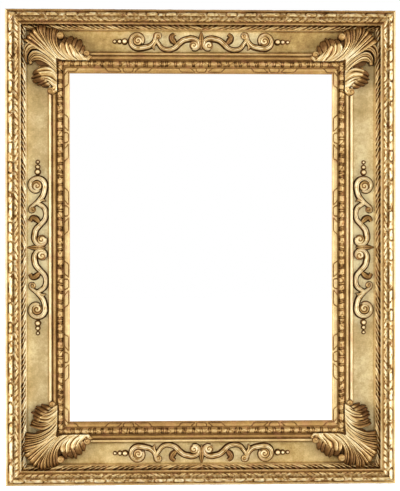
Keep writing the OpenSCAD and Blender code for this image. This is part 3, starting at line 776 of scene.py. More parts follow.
@dataclass
class OuterMoulding(Moulding):
    """Outer moulding: plain fillet, row of petals and scrolls, quirk, crest of leaf tips and ribbon twist.

    row, quirk, crest and twist are the places in s between which each of them
    rises and falls. gaps are the places of the cuts in one repeat of the twist.
    """

    title: ClassVar[str] = "outer_carving"
    slot: ClassVar[str] = "gilt_outer"
    node: ClassVar[str] = "outer_moulding"

    petal_repeat: float = 137.6
    oval_repeat: float = 34.4
    oval_back: float = 0.2
    tip_pitch: float = 11.4
    tip_lean: float = 1.05
    crest_mid: float = 21.5
    knot_pitch: float = 6.1
    ribbon_pitch: float = 48.0
    ribbon_lean: float = 1.9
    twist_glaze: float = 0.97

    row: ClassVar[tuple] = (3.9, 4.5, 14.8, 16.0)
    quirk: ClassVar[tuple] = (13.8, 14.6, 17.6, 18.8)
    crest: ClassVar[tuple] = (14.6, 16.6, 24.4, 25.0)
    twist: ClassVar[tuple] = (27.6, 28.4, 35.6, 36.0)
    gaps: ClassVar[tuple] = (-24.0, -5.0, 5.0, 14.5)
    petal_forms: ClassVar[tuple] = (
        Form(0.0, 15.5, 4.9, 14.2, 0.0, 1.4, 3.4, lobes=8.5),
        Form(35.5, 9.8, 4.9, 14.2, 0.35, 0.2, 3.8),
        Form(68.8, 9.6, 4.7, 14.4, 0.0, -0.2, 4.2),
        Form(-35.5, 9.8, 4.9, 14.2, -0.35, 0.2, 3.8),
    )
    collar: ClassVar[Form] = Form(0.0, 20.5, 2.0, 16.5, 0.0, 0.55, 5.0)
    # Stops across the width; the dark ones in the hollows are painted shade, partly glaze, and the palest, on
    # the fillets, painted highlight, partly rubbed leaf.
    tones: ClassVar[tuple] = (
        (0, 0.55), (1, 0.80), (2.9, 0.84), (3.6, 0.10), (4.2, 0.70), (5.2, 0.86), (13.6, 0.88),
        (14.6, 0.74), (17.4, 0.72), (18.6, 0.74), (21, 0.86), (23.5, 0.76), (24.4, 0.30), (25.0, 0.58),
        (26.1, 0.66), (26.5, 0.96), (27.1, 0.96), (28, 0.48), (30, 0.88), (36, 0.72),
    )
    shade_at: ClassVar[tuple] = (2.5, 10, 16, 21.5, 26, 32)
    # Painted light and shade of each member, from where it stands to the lights; mostly darker on the top and
    # bottom members.
    shades: ClassVar[dict[Side, tuple]] = per_side(
        (0.0, 0.05, 0.32, -0.02, 0.0, 0.26),
        (0.0, 0.20, 0.28, 0.10, 0.0, -0.02),
        (-0.36, -0.12, 0.06, -0.18, -0.30, -0.10),
        (-0.12, -0.02, 0.02, -0.12, -0.20, -0.08),
    )
    shifts: ClassVar[dict[Side, float]] = per_side(68.8, 48.0, -17.0, 30.0)

    def section(self) -> Array:
        """Side, rounded edge, fillet, leaf row, quirk, crest, thin fillet and ribbon twist, in order.

        Returns:
            Points in s and t.
        """
        parts = [
            np.array([[0.0, 0.0], [0.0, 6.0]]),
            arc((2, 6), 2, 2, 180, 90),
            np.array([[2.0, 8.0], [5.0, 8.0]]),
            arc((14, 9), 9, 12, 180, 90),
            np.array([[14.0, 21.0], [14.5, 17.2], [17.9, 17.0]]),
            arc((self.crest_mid, 20.5), 3.5, 7.5, 180, 0),
            np.array([[25.0, 19.5], [SIZES.rope_s, 19.5]]),
            arc((SIZES.rope_mid, 5.9), 4.25, 5.9, 150, 0),
        ]
        return np.vstack([even_steps(np.vstack(parts), 1.0), [[self.far, 0.0]]])

    def carve(self, u: Array, s: Array) -> Carving:
        """Carving of the four rows, each within its own reach of s, with pores in the row and the crest.

        Args:
            u: distance from the member's middle.
            s: distance from the outer edge.

        Returns:
            The finished carving.
        """
        hand = self.by_hand(u, s)
        in_row, in_quirk, in_crest, in_twist = (
            window(s, *reach) for reach in (self.row, self.quirk, self.crest, self.twist)
        )
        rows = joined([
            self.petals(hand, s).within(in_row),
            self.leaf_tips(hand, s).within(in_crest),
            self.ribbon(hand, s).within(in_twist),
            self.knots(hand, wander(u / 12, s / 5, self.seed + 7)).within(in_quirk),
            self.ovals(hand, s),
            Carving(0.0, 0.0 * hand, 0.16 * wander(u / 4.5, s / 3.5, self.seed + 8)).within(
                window(s, 5.0, 7.0, 24.0, 25.0)),
        ])
        pores = np.clip(1.7 * wander(u / 4.4, s / 2.9, self.seed + 9) - 0.35, 0, 1)
        glaze = np.where(s > SIZES.rope_s, self.twist_glaze, self.side.pick(*self.glaze))
        return self.worn_and_shaded(rows, u, s, glaze, pores * (in_row + in_crest) * (1 - in_quirk))

    def petals(self, u: Array, s: Array) -> Carving:
        """Long petals, each in a collar, with three short scrolls between them.

        The ground is cut away outside the forms, a line runs round each, and a
        cosine parts the lobes along its inner edge.

        Args:
            u: distance from the member's middle, as carved.
            s: distance from the outer edge.

        Returns:
            The carving of the row.
        """
        along = wrap(u - self.shifts[self.side], self.petal_repeat)
        edge = line_mark(self.collar.distance(along, s), 1.1) * smooth_step(4.6, 7.5, s)
        cut = np.full(np.broadcast(u, s).shape, 1.5)
        ink = edge
        tone = 0.04
        for form in self.petal_forms:
            along = wrap(u - self.shifts[self.side] - form.centre, self.petal_repeat) + form.centre
            d = form.distance(along, s)
            inside = smooth_step(-0.4, 1.3, -d)
            lobe = np.cos((along - form.centre) * 2 * np.pi / form.lobes)
            cut = cut * (1 - inside) + 1.9 * line_mark(d - 0.1, 1.15)
            cut = cut + inside * 0.45 * (0.5 - 0.5 * lobe) * smooth_step(9.5, 14, s)
            ink = np.maximum(ink, line_mark(d - 0.15, 1.3))
            # painted shade where the lobes part along each form's inner edge
            tone = tone - inside * (0.06 + 0.22 * line_mark(lobe + 1, 0.35) * smooth_step(10.0, 13.0, s))
        return Carving(cut + edge, ink, tone)

    def knots(self, u: Array, stray: Array) -> Carving:
        """A sine of lumps along the quirk, bent by a noise that strays between -1 and 1."""
        lumps = 0.5 + 0.5 * np.sin(u * 2 * np.pi / self.knot_pitch + 2.2 * stray)
        # darker between the lumps: painted shade
        return Carving(0.9 * lumps, 0.3 * lumps**3, 0.12 - 0.34 * (1 - lumps))

    def ovals(self, u: Array, s: Array) -> Carving:
        """Dark ovals at the quirk, between the forms of the row."""
        along = wrap(u - self.shifts[self.side] - self.oval_repeat / 2 + self.oval_back, self.oval_repeat)
        return Carving(0.0, 0.62 * (1 - smooth_step(0.55, 1.1, np.hypot(along / 5.5, (s - 15.6) / 2.4))))

    def leaf_tips(self, u: Array, s: Array) -> Carving:
        """Notches that leave leaf tips on the crest, and slant the other way past each long petal.

        Args:
            u: distance from the member's middle, as carved.
            s: distance from the outer edge.

        Returns:
            The carving of the crest.
        """
        along = wrap(u - self.shifts[self.side] - self.petal_repeat / 2, self.petal_repeat)
        lean = np.where(along > 0, 1.0, -1.0) * self.tip_lean * (s - self.crest_mid)
        cell = wrap(along - lean, self.tip_pitch)
        notch = line_mark(cell, 1.6)
        rib = line_mark(np.abs(cell) - self.tip_pitch / 2, 0.8)
        face = smooth_step(15.6, 18.4, s) * (1 - 0.75 * smooth_step(23.6, 24.6, s))
        return Carving(2.3 * notch + 0.5 * rib, notch + 0.35 * rib).within(face)

    def ribbon(self, u: Array, s: Array) -> Carving:
        """Ribbon twist: slanted strands, every fourth one broad with an inner line, mirrored at mid-length.

        Args:
            u: distance from the member's middle, as carved.
            s: distance from the outer edge.

        Returns:
            The carving of the twist.
        """
        turned = np.where(u > 0, -1.0, 1.0)
        along = wrap(u - turned * (self.ribbon_lean * (s - SIZES.rope_mid) + 6.0), self.ribbon_pitch)
        near = np.abs(wrap(along[..., None] - np.array(self.gaps), self.ribbon_pitch)).min(axis=-1)
        cut = line_mark(near, self.side.pick(1.7, 2.5))
        inner = line_mark(wrap(along + 14.5, self.ribbon_pitch), 0.9)
        ends = np.minimum(s - 27.8, 35.8 - s)
        notch = (1 - smooth_step(0.8, 3.2, ends)) * (1 - smooth_step(2.2, 4.4, near))
        ink = np.clip(0.88 * np.maximum(cut, 0.7 * inner) + 0.7 * notch, 0, 1)
        return Carving(2.8 * cut + 0.8 * inner + 1.8 * notch, ink)


@dataclass
class SightMoulding(Moulding):
    """Sight moulding: two fillets with a groove, hollow, row of beads and reels, quirk and leaf-tip slope.

    d is the distance from the moulding's outer foot. bead_row and slope are
    the places in d between which they rise and fall, and cuts those of the
    cuts between beads and reels, from the middle of a repeat.
    """

    title: ClassVar[str] = "sight_carving"
    slot: ClassVar[str] = "gilt_sight"
    node: ClassVar[str] = "sight_moulding"

    near: float = SIZES.sight_s
    far: float = SIZES.opening_s
    seed: int = 30
    drift: tuple[float, float] = (1.1, 21.0)
    shake: tuple[float, float] = (0.4, 4.0)
    marks: tuple[float, float] = (0.14, 10.0)
    fine_marks: float = 0.08
    wear: tuple[float, float] = (0.06, 26.0)
    repeat: float = 125.6
    bead_mid: float = 19.5

    glaze: ClassVar[tuple[float, float]] = (0.84, 0.72)
    bead_row: ClassVar[tuple] = (14.0, 15.4, 24.0, 25.4)
    slope: ClassVar[tuple] = (26.4, 27.4, 35.2, 36.0)
    cuts: ClassVar[tuple] = (2.0, 12.5, 15.5, 27.4, 30.2, 33.0, 43.0, 46.0, 57.5, 60.5)
    petal_forms: ClassVar[tuple] = (
        Form(-26.5, 11.0, 26.0, 34.2, 0.9, 0.2),
        Form(0.0, 8.2, 26.0, 34.4, 0.0, -0.25, 2.6),
        Form(26.5, 11.0, 26.0, 34.2, -0.9, 0.2),
    )
    # Stops across the width; the dark ones in the groove, hollow and quirks are painted shade, partly glaze,
    # and the palest, on the fillet, painted highlight, partly rubbed leaf.
    tones: ClassVar[tuple] = (
        (0, 0.30), (0.6, 0.55), (1.4, 0.96), (4.2, 0.92), (4.9, 0.40), (7.6, 0.38), (8.4, 0.58),
        (11.2, 0.60), (12.1, 0.46), (14.6, 0.36), (15.6, 0.40), (18, 0.62), (21, 0.64), (23.4, 0.46),
        (24.2, 0.34), (26.2, 0.30), (27.3, 0.55), (30, 0.84), (36, 0.78),
    )
    shade_at: ClassVar[tuple] = (2.5, 6.5, 10, 19, 25, 31)
    # Painted light and shade of each member, from where it stands to the lights; mostly darker on the top and
    # bottom members.
    shades: ClassVar[dict[Side, tuple]] = per_side(
        (0.0, -0.04, -0.02, 0.05, 0.12, -0.12),
        (0.0, 0.0, 0.20, 0.04, 0.12, -0.08),
        (-0.42, 0.0, -0.14, -0.02, 0.10, -0.32),
        (-0.22, -0.05, -0.12, 0.02, 0.10, -0.38),
    )
    shifts: ClassVar[dict[Side, float]] = per_side(62.8, 62.8, 0.0, 0.0)

    def section(self) -> Array:
        """Fillet, groove, second fillet, hollow, bead row, quirk, lip and the edge seen at the opening.

        Returns:
            Points in s and t.
        """
        s0 = self.near
        parts = [
            np.array([[s0, 0.0], [s0, 5.6]]),
            arc((s0 + 2.5, 6.2), 2.5, 2.5, 180, 0),
            np.array([[s0 + 5, 3.5], [s0 + 8, 3.5], [s0 + 8, 7.9], [s0 + 8.6, 8.5], [s0 + 12, 8.5]]),
            arc((s0 + 15.0, 8.5), 3.0, 4.0, 190, 270),
            arc((s0 + self.bead_mid, 7.0), 4.2, 4.8, 180, 0),
            np.array([[s0 + 23.7, 4.5], [s0 + 27, 4.5]]),
            arc((s0 + 27, 2.5), 9.0, 5.5, 90, 0),
        ]
        return np.vstack([even_steps(np.vstack(parts), 0.85), [[self.far, 0.0]]])

    def carve(self, u: Array, s: Array) -> Carving:
        """Carving of the bead row and of the leaf tips on the slope.

        Args:
            u: distance from the member's middle.
            s: distance from the outer edge.

        Returns:
            The finished carving.
        """
        d = s - self.near
        hand = self.by_hand(u, s)
        along = wrap(hand - self.shifts[self.side], self.repeat)
        beads = self.beads(along, d, wander(hand / 3.1, d / 2.4, self.seed + 7))
        rows = joined([beads.within(window(d, *self.bead_row)),
                       self.leaf_tips(along, d).within(window(d, *self.slope))])
        return self.worn_and_shaded(rows, u, s, self.side.pick(*self.glaze))

    def beads(self, along: Array, d: Array, ground: Array) -> Carving:
        """Long beads and leaves parted by groups of reels: straight cuts, slanting cuts and rough ground.

        Args:
            along: distance along the repeat.
            d: distance from the moulding's outer foot.
            ground: noise between -1 and 1.

        Returns:
            The carving of the row.
        """
        half = np.abs(along)
        across = d - self.bead_mid
        mark = line_mark(np.abs(half[..., None] - np.array(self.cuts)).min(axis=-1), 0.85)
        leaf = line_mark(half - 52 - 1.3 * np.abs(across), 0.8) + line_mark(half - 8 - 1.1 * across, 0.8)
        rough = np.clip(ground - 0.15, 0, 1)
        ink = np.clip(0.9 * mark + 0.7 * leaf + 0.75 * rough, 0, 1)
        return Carving(1.6 * mark + 1.0 * leaf + 0.9 * rough, ink)

    def leaf_tips(self, along: Array, d: Array) -> Carving:
        """Groups of three petals on the slope, the outer two leaning away from the middle one.

        Args:
            along: distance along the repeat.
            d: distance from the moulding's outer foot.

        Returns:
            The carving of the slope.
        """
        cut = np.full(np.broadcast(along, d).shape, 0.9)
        ink = np.zeros_like(cut)
        for form in self.petal_forms:
            outline = form.distance(along, d)
            line = line_mark(outline - 0.1, 0.85)
            cut = cut * (1 - smooth_step(-0.3, 1.2, -outline)) + 1.2 * line
            ink = np.maximum(ink, line)
        return Carving(cut, ink)


@dataclass
class FriezeSkin(MemberPiece):
    """Gesso and leaf on the flat frieze, as a thin closed plate with a hand-laid surface.

    glow is painted light that makes the leaf paler round the scroll ornament,
    where the relief shades it, and level is the painted light and shade of the
    whole member.
    """

    title: ClassVar[str] = "frieze_skin"
    slot: ClassVar[str] = "gilt_sight"

    thick: float = 0.35
    waves: float = 0.06
    step: float = 2.0
    under_outer: float = 0.6
    under_sight: float = 0.3
    back_tone: float = 0.5

    glow: ClassVar[dict[Side, float]] = per_side(0.36, 0.36, 0.44, 0.17)
    level: ClassVar[dict[Side, float]] = per_side(0.0, 0.06, -0.25, -0.13)

    def shape(self) -> Shell:
        """The plate: its height is the thickness less a little slow noise.

        Returns:
            The shell.
        """
        s = np.linspace(SIZES.frieze_s - self.under_outer, SIZES.sight_s + self.under_sight, 24)[None, :]
        count = int(SIZES.length(self.side) / self.step)
        share = np.linspace(-0.5, 0.5, count)[:, None]
        u = SIZES.mitred(self.side, share, s)
        top = self.thick - self.waves + self.waves * wander(u / 17, s / 9, 51)
        upper = SIZES.place(self.side, u, s, top)
        lower = SIZES.ring(self.side, share, s[:, [-1, 0]], 0.0)
        edge = np.minimum(s - SIZES.frieze_s, SIZES.sight_s - s)
        # painted shade along both edges, at the foot of the mouldings
        tone = 0.74 - 0.30 * line_mark(np.maximum(edge, 0), 1.8) + 0.08 * wander(u / 30, s / 20, 52)
        # painted light round the scroll ornament, then each member's painted light and shade
        near_ornament = (1 - smooth_step(95, 150, np.abs(u))) * line_mark(s - SIZES.frieze_mid, 22)
        tone = tone + self.glow[self.side] * near_ornament + self.level[self.side]
        tone = tone + self.side.pick(0.07, 0.0) * smooth_step(60, 260, u)
        shell = Shell()
        shell.add_rings(np.concatenate([upper, lower], axis=1),
                        np.concatenate([tone, np.full((count, 2), self.back_tone)], axis=1))
        return shell


@dataclass(frozen=True)
class RolledEnd:
    """A rolled end: a dome with a groove that winds in as a spiral.

    heights are those of the foot, the shoulder and the top, turns the turns of
    the groove, hand 1 or -1 for the way it winds, bright the tone of its top,
    which is a painted highlight, and depth the share of the groove's full depth.
    """

    size: float
    heights: tuple[float, float, float]
    turns: float
    hand: int
    bright: float
    depth: float = 1.0

    def add_to(self, shell: Shell, put: Put, centre: tuple[float, float]) -> None:
        """Adds the dome.

        The groove lies where the distance from the middle, in turns, equals the
        angle, so it is an even spiral. The reach falls as cos^0.75 and the
        height rises as sin^0.9 of a quarter turn.

        Args:
            shell: what it is added to.
            put: gives world places from two plane coordinates and a height.
            centre: middle of the dome in those coordinates.
        """
        rise = np.linspace(0, 1, 20)[:, None]
        turn = np.linspace(0, 2 * np.pi, 44, endpoint=False)[None, :]
        quarter = rise * np.pi / 2
        reach = self.size * np.cos(quarter) ** 0.75 + 0.02
        behind = wrap(reach * self.turns / self.size - self.hand * turn / (2 * np.pi), 1.0)
        groove = line_mark(behind * self.size / self.turns, 0.13 * self.size)
        groove = self.depth * groove * smooth_step(0.05, 0.2, rise)
        foot, shoulder, top = self.heights
        t = shoulder + (top - shoulder) * np.sin(quarter) ** 0.9 - 0.15 * self.size * groove
        t = np.where(rise == 0, foot, np.maximum(t, foot))
        # Painted light: dark at the foot, paler up the dome and on one side; painted shade, partly glaze, in
        # the groove.
        lit = 0.5 + 0.5 * np.cos(turn - self.hand * 2.4) * np.cos(quarter)
        tone = 0.05 + self.bright * smooth_step(0.04, 0.60, rise) * (0.50 + 0.55 * lit)
        ring = put(centre[0] + reach * np.cos(turn), centre[1] + reach * np.sin(turn), t)
        shell.add_rings(ring, tone * (1 - 0.85 * groove))


@dataclass(frozen=True)
class Plume:
    """One ribbed plume of an acanthus leaf, a sheet between two edges.

    Places are w, along the member away from the corner, and h, towards the
    outer edge, both from the leaf's root. levels are the heights at the root,
    half way and at the tip, bulge how far the sheet's middle is moved at the
    tip, shade how much it darkens towards the tip, and scallop how far the
    ribs reach past the rim.
    """

    left: tuple
    right: tuple
    ribs: int
    levels: tuple
    bulge: tuple = (0.0, 0.0)
    shade: float = 0.15
    scallop: float = 1.3
    rows: int = 60
    per_rib: int = 15
    dome: float = 1.5
    crease_depth: float = 2.6
    lip: float = 0.9
    tip_drop: float = 3.0
    side_drop: float = 1.8
    lowest: float = 1.2

    def edge(self, points: tuple) -> Array:
        """An edge as a smooth line with one point for each row."""
        return resample(smooth_path(points, 12), self.rows)[:, None, :]

    def sheet(self, seed: int) -> tuple[Array, Array, Array]:
        """Places, heights and tones of the sheet, as grids of rows from root to tip.

        A place is (1-g) left + g right plus 4 g (1-g) f^2 times the bulge, where
        f is the share of the way to the tip and g the share across. The height
        runs through the three levels as a parabola, with rounded ribs parted by
        sharp creases, and the rim rolls over. Ribs are broad and narrow in turn,
        and every other crease starts only some way from the root.

        Args:
            seed: which random values bend the ribs.

        Returns:
            The places w and h, the heights and the tones.
        """
        f = np.linspace(0, 1, self.rows)[:, None]
        g = np.linspace(0, 1, self.ribs * self.per_rib + 1)[None, :]
        middle = np.sin(np.pi * g)
        left, right = self.edge(self.left), self.edge(self.right)
        place = left + (right - left) * g[..., None]
        place = place + np.array(self.bulge) * (4 * g * (1 - g) * f**2)[..., None]
        way = np.gradient(place, axis=0)
        way /= np.linalg.norm(way, axis=2, keepdims=True) + 1e-9
        phase = g * self.ribs + 0.22 * middle * wander(f * 3.0, g * self.ribs * 0.7, seed)
        phase = phase + 0.17 * np.maximum(middle, 0) ** 0.5 * np.cos(np.pi * g * self.ribs + seed)
        split = np.where(np.round(phase) % 2 == 1, smooth_step(0.20, 0.62, f), 1.0)
        split = np.where(np.minimum(g, 1 - g) * self.ribs < 0.5, 1.0, split)
        swell = 1 - (1 - np.abs(np.sin(np.pi * phase))) * split
        uneven = 1 + 0.6 * wander(np.floor(phase) * 3.7, 0 * f, seed + 2)
        place = place + way * (self.scallop * uneven * swell * smooth_step(0.70, 1.0, f))[..., None]
        wide = np.linalg.norm(right - left, axis=2) / self.ribs
        crease = np.abs(wrap(phase, 1.0)) * wide
        vein = wrap(phase - 0.5, 1.0) * wide
        side = np.minimum(g, 1 - g) * wide * self.ribs
        low, half_way, high = self.levels
        t = low * (2 * f - 1) * (f - 1) + half_way * 4 * f * (1 - f) + high * f * (2 * f - 1)
        t = t + self.dome * np.maximum(middle, 0) ** 0.7
        t = t - self.crease_depth * (1 - swell**0.6) * smooth_step(0.0, 0.15, f) * np.minimum(1, wide / 4.0)
        t = t - 0.35 * line_mark(vein, 0.35) * smooth_step(2.2, 3.5, wide)
        t = t + self.lip * line_mark(f - 0.87, 0.07) - self.tip_drop * smooth_step(0.92, 1.0, f)
        t = t - self.side_drop * (1 - smooth_step(0.0, 0.9, side))
        ink = line_mark(crease, 0.85) * split * smooth_step(0.9, 2.6, wide) * smooth_step(0.0, 0.12, f)
        ink = np.maximum(ink, line_mark(side, 0.75))
        ink = np.maximum(ink, 0.40 * line_mark(vein, 0.45) * smooth_step(2.4, 4.0, wide))
        # Painted light: the swell of each rib paler, with a painted highlight line beside its crest and a
        # paler band half way; painted shade, partly glaze, in the creases, veins and along the edges; darker
        # towards the tip by shade, and painted shade under the rolled rim.
        tone = 0.40 + 0.34 * swell**0.9 + 0.30 * line_mark(wrap(phase - 0.36, 1.0), 0.13)
        tone = tone + 0.20 * wander(f * 4, phase * 0.7, seed + 1) + 0.14 * line_mark(f - 0.5, 0.2) * swell
        tone = tone * (1 - 0.90 * ink) * (1 - self.shade * smooth_step(0.25, 0.90, f))
        return place, np.maximum(t, self.lowest), tone * (1 - 0.6 * smooth_step(0.93, 1.0, f))

    def add_to(self, shell: Shell, put: Put, foot: float, seed: int) -> None:
        """Adds the plume as a closed body: the sheet, walls down to the foot and a level bottom.

        The bottom is a ladder of faces between the two edges, and its first and
        last face take in the points of the root line and of the rim.

        Args:
            shell: what it is added to.
            put: gives world places from w, h and a height.
            foot: height of the bottom.
            seed: which random values bend the ribs.
        """
        place, t, tone = self.sheet(seed)
        rows, across = t.shape
        index = np.arange(rows * across).reshape(rows, across)
        rim = np.concatenate([index[:, 0], index[-1, 1:], index[-2::-1, -1], index[0, -2:0:-1]])
        low = np.zeros(rows * across, dtype=int)
        low[rim] = rows * across + np.arange(len(rim))
        low = low.reshape(rows, across)
        sheet = np.stack([index[:-1, :-1], index[1:, :-1], index[1:, 1:], index[:-1, 1:]], axis=-1)
        after = np.roll(rim, -1)
        wall = np.stack([low.flat[rim], low.flat[after], after, rim], axis=-1)
        ladder = np.stack([low[2:-1, 0], low[1:-2, 0], low[1:-2, -1], low[2:-1, -1]], axis=-1)
        first = np.concatenate([low[1:2, 0], low[0], low[1:2, -1]])
        last = np.concatenate([low[-2:-1, -1], low[-1, ::-1], low[-2:-1, 0]])
        w, h = place[..., 0], place[..., 1]
        top = put(w, h, t).reshape(-1, 3)
        bottom = put(w, h, np.full_like(t, foot)).reshape(-1, 3)[rim]
        # the walls fall to a dark foot: painted shade under the sheet
        tones = np.concatenate([tone.reshape(-1), np.full(len(rim), 0.05)])
        shell.add(np.concatenate([top, bottom]), tones,
                  [sheet.reshape(-1, 4), wall, ladder, first[None, :], last[None, :]])


@dataclass(frozen=True)
class Wing:
    """One wing of a corner leaf: its plumes, and its rolled curls as w, h and size."""

    plumes: tuple[Plume, ...]
    curls: tuple[tuple[float, float, float], ...]


MIDDLE_PLUME = Plume(((-5, 0.5), (-21, 10), (-39, 22), (-57, 33)),
                     ((0.5, 5), (-12, 20), (-26, 38), (-38, 56)), 4, (13.0, 19.5, 15.5), shade=0.30)
BALL_WING = Wing((
    Plume(((0.5, 3.5), (-13, 20), (-25, 36), (-33, 47), (-35, 58)),
          ((9, 1), (-5, 15), (-14, 29), (-18, 43), (-18, 58)), 3, (12.5, 18.0, 14.5), (-1, 1), 0.50),
    Plume(((7, 1), (-6, 14), (-15, 28), (-19, 42), (-18, 57)),
          ((31, 0.5), (15, 8), (5, 20), (1, 33), (3, 50)), 4, (12.5, 17.0, 13.0), (1, 2), 0.65),
    Plume(((10, 24), (6, 30), (8, 35)), ((40, 7), (45, 11), (48, 17)),
          5, (8.0, 12.5, 11.0), (4, 11), 0.86, scallop=4.2, rows=40),
    Plume(((24, 0.5), (11, 7), (3, 17), (5, 30)), ((50, 0.5), (50, 3), (46, 8), (38, 13)),
          4, (11.5, 15.0, 15.5), (0, 6), 0.20, scallop=2.4),
    Plume(((40, 0.5), (42, 5), (46, 9)), ((55, 0.5), (57, 3), (60, 6)), 2, (10.5, 11.5, 8.0), (1, 2), 0.3),
), ((5.5, 42.5, 6.6), (12.5, 32.5, 3.0), (50.5, 12.0, 6.2)))
HOOK_WING = Wing((
    Plume(((-4, 2), (-17, 18), (-28, 36), (-30, 50), (-20, 57), (-6, 57), (6, 52)),
          ((9, 1.5), (-6, 16), (-17, 31), (-18, 42), (-11, 49), (-2, 51), (6, 50)),
          3, (12.5, 17.0, 12.0), (0, 0), 0.25, scallop=0.4, rows=84),
    Plume(((8, 1.5), (-6, 16), (-16, 31), (-16, 42), (-9, 48), (-1, 49), (6, 49)),
          ((23, 0.5), (12, 10), (5, 20), (0, 31), (1, 40), (4, 44), (6, 47)),
          4, (12.0, 15.5, 11.0), (0, 0), 0.30, scallop=0.4, rows=84),
    Plume(((17, 3), (11, 13), (8, 22), (10, 31)), ((27, 2), (22, 10), (20, 18), (23, 24)),
          2, (10.5, 12.0, 9.5), (1, 2), 0.75, scallop=2.4),
    Plume(((18, 26), (14, 34), (16, 39)), ((39, 8), (43, 12), (46, 18)),
          5, (8.0, 12.0, 10.5), (4, 8), 0.86, scallop=4.2, rows=40),
    Plume(((22, 0.5), (13, 8), (10, 19), (14, 33)), ((47, 0.5), (47, 4), (43, 9), (36, 14)),
          4, (11.0, 14.5, 15.0), (1, 4), 0.20, scallop=2.4),
    Plume(((38, 0.5), (41, 5), (46, 9)), ((54, 0.5), (57, 3), (60, 6)), 2, (10.5, 11.5, 8.0), (1, 2), 0.3),
), ((4.0, 45.5, 2.8), (12.0, 30.0, 2.8), (52.0, 11.0, 6.4)))
SWEEP_WING = Wing((
    Plume(((-4, 3), (-16, 18), (-28, 34), (-35, 53)), ((13, 1), (0, 14), (-10, 30), (-16, 57)),
          4, (12.5, 18.0, 14.0), (-1, 2), 0.30),
    Plume(((11, 1), (-1, 14), (-10, 30), (-17, 57)), ((28, 0.5), (15, 10), (6, 24), (2, 38), (4, 54)),
          4, (12.0, 16.5, 12.0), (0, 2), 0.40),
    Plume(((24, 0.5), (14, 11), (8, 23), (9, 34), (12, 44)),
          ((37, 0.5), (28, 9), (22, 19), (21, 29), (25, 38)),
          3, (11.5, 14.5, 10.5), (2, 3), 0.55, scallop=2.4),
    Plume(((28, 26), (22, 33), (25, 40)), ((43, 8), (47, 12), (50, 18)),
          5, (8.0, 12.0, 10.5), (4, 8), 0.86, scallop=4.2, rows=40),
    Plume(((34, 0.5), (25, 8), (20, 19), (23, 32)), ((51, 0.5), (50, 4), (47, 8), (40, 14)),
          4, (11.0, 14.5, 15.0), (1, 4), 0.20, scallop=2.4),
), ((21.5, 33.5, 2.8), (52.0, 9.5, 5.4)))


@dataclass
class CornerLeaf(Piece):
    """Acanthus leaf over one corner of the frieze: a plume on the diagonal and a wing along each member.

    pad_rim gives the reach of the ground between the plumes as stops over the
    angle from the diagonal, and curls farther out than far_curl stand higher.
    """

    title: ClassVar[str] = "acanthus"
    slot: ClassVar[str] = "gilt_leaf"
    node: ClassVar[str] = "corner_leaf"
    pad_rim: ClassVar[tuple] = ((0, 50), (18, 44), (50, 38), (66, 25), (83, 28), (105, 28), (128, 40))

    corner: Corner
    foot: float = 0.4
    pad_top: float = 6.5
    # tone of the ground: painted shade between the plumes
    pad_shade_tone: float = 0.22
    far_curl: float = 38.0

    @property
    def label(self) -> str:
        """The corner's name."""
        return self.corner.name.lower()

    def put(self, level: bool) -> Put:
        """Gives the function that places points of one wing.

        Args:
            level: whether the wing lies along the level member or the upright one.

        Returns:
            A function of w, h and a height.
        """
        root = SIZES.leaf_root
        if level:
            return lambda w, h, t: SIZES.place_corner(self.corner, root + w, root - h, t)
        return lambda w, h, t: SIZES.place_corner(self.corner, root - h, root + w, t)

    def shade_pad(self, shell: Shell) -> None:
        """Adds the ground between the plumes, a low plate that follows the rim from within, dark as painted
        shade in the gaps.

        Args:
            shell: what it is added to.
        """
        degrees = np.linspace(-self.pad_rim[-1][0], self.pad_rim[-1][0], 121)
        rim = along_stops(np.abs(degrees), self.pad_rim)
        angle = np.radians(135) - np.radians(degrees)
        w = np.concatenate([rim * np.cos(angle), [0.5]])
        h = np.concatenate([rim * np.sin(angle), [0.5]])
        rings = np.stack([self.put(True)(w, h, t) for t in (self.foot, self.pad_top)])
        shell.add_rings(rings, np.full(rings.shape[:2], self.pad_shade_tone))

    def add_curls(self, shell: Shell, put: Put, curls: tuple, hand: int) -> None:
        """Adds the rolled curls of a wing.

        Args:
            shell: what they are added to.
            put: gives world places from w, h and a height.
            curls: w, h and size of each.
            hand: 1 or -1, the way they wind.
        """
        for w, h, size in curls:
            far = h > self.far_curl
            rise = 12.0 if far else 8.8
            bright, depth = (0.66, 0.4) if far else (0.62, 0.7)
            end = RolledEnd(size, (self.foot, rise, rise + 0.75 * size), 1.1, hand, bright, depth)
            end.add_to(shell, put, (w, h))

    def shape(self) -> Shell:
        """The ground, the plumes and the curls.

        Returns:
            The shell.
        """
        shell = Shell()
        self.shade_pad(shell)
        seed = 60 + 7 * list(Corner).index(self.corner)
        upright = HOOK_WING if self.corner.value[1] > 0 else SWEEP_WING
        for level, wing in ((True, BALL_WING), (False, upright)):
            put = self.put(level)
            for number, plume in enumerate(wing.plumes):
                plume.add_to(shell, put, self.foot, seed + 3 * number)
            self.add_curls(shell, put, wing.curls, 1 if level else -1)
        MIDDLE_PLUME.add_to(shell, self.put(True), self.foot, seed + 20)
        return shell


@dataclass(frozen=True)
class ScrollDesign:
    """Drawing of one half of a scroll ornament.

    Places are u, from the middle outwards, and the share of the reach in v,
    from the middle of the frieze towards the opening. inner is the middle of
    the inner volute, stem the way from it over the arch to the knot, lead the
    start of the outer volute, husk and tendril the curl and the leaf beside the
    knot, and outer_share the outer volute's radius as a share of the reach.
    """

    length: float
    inner: tuple[float, float]
    inner_r: float
    outer_share: float
    stem: tuple
    lead: tuple
    husk: tuple
    tendril: tuple


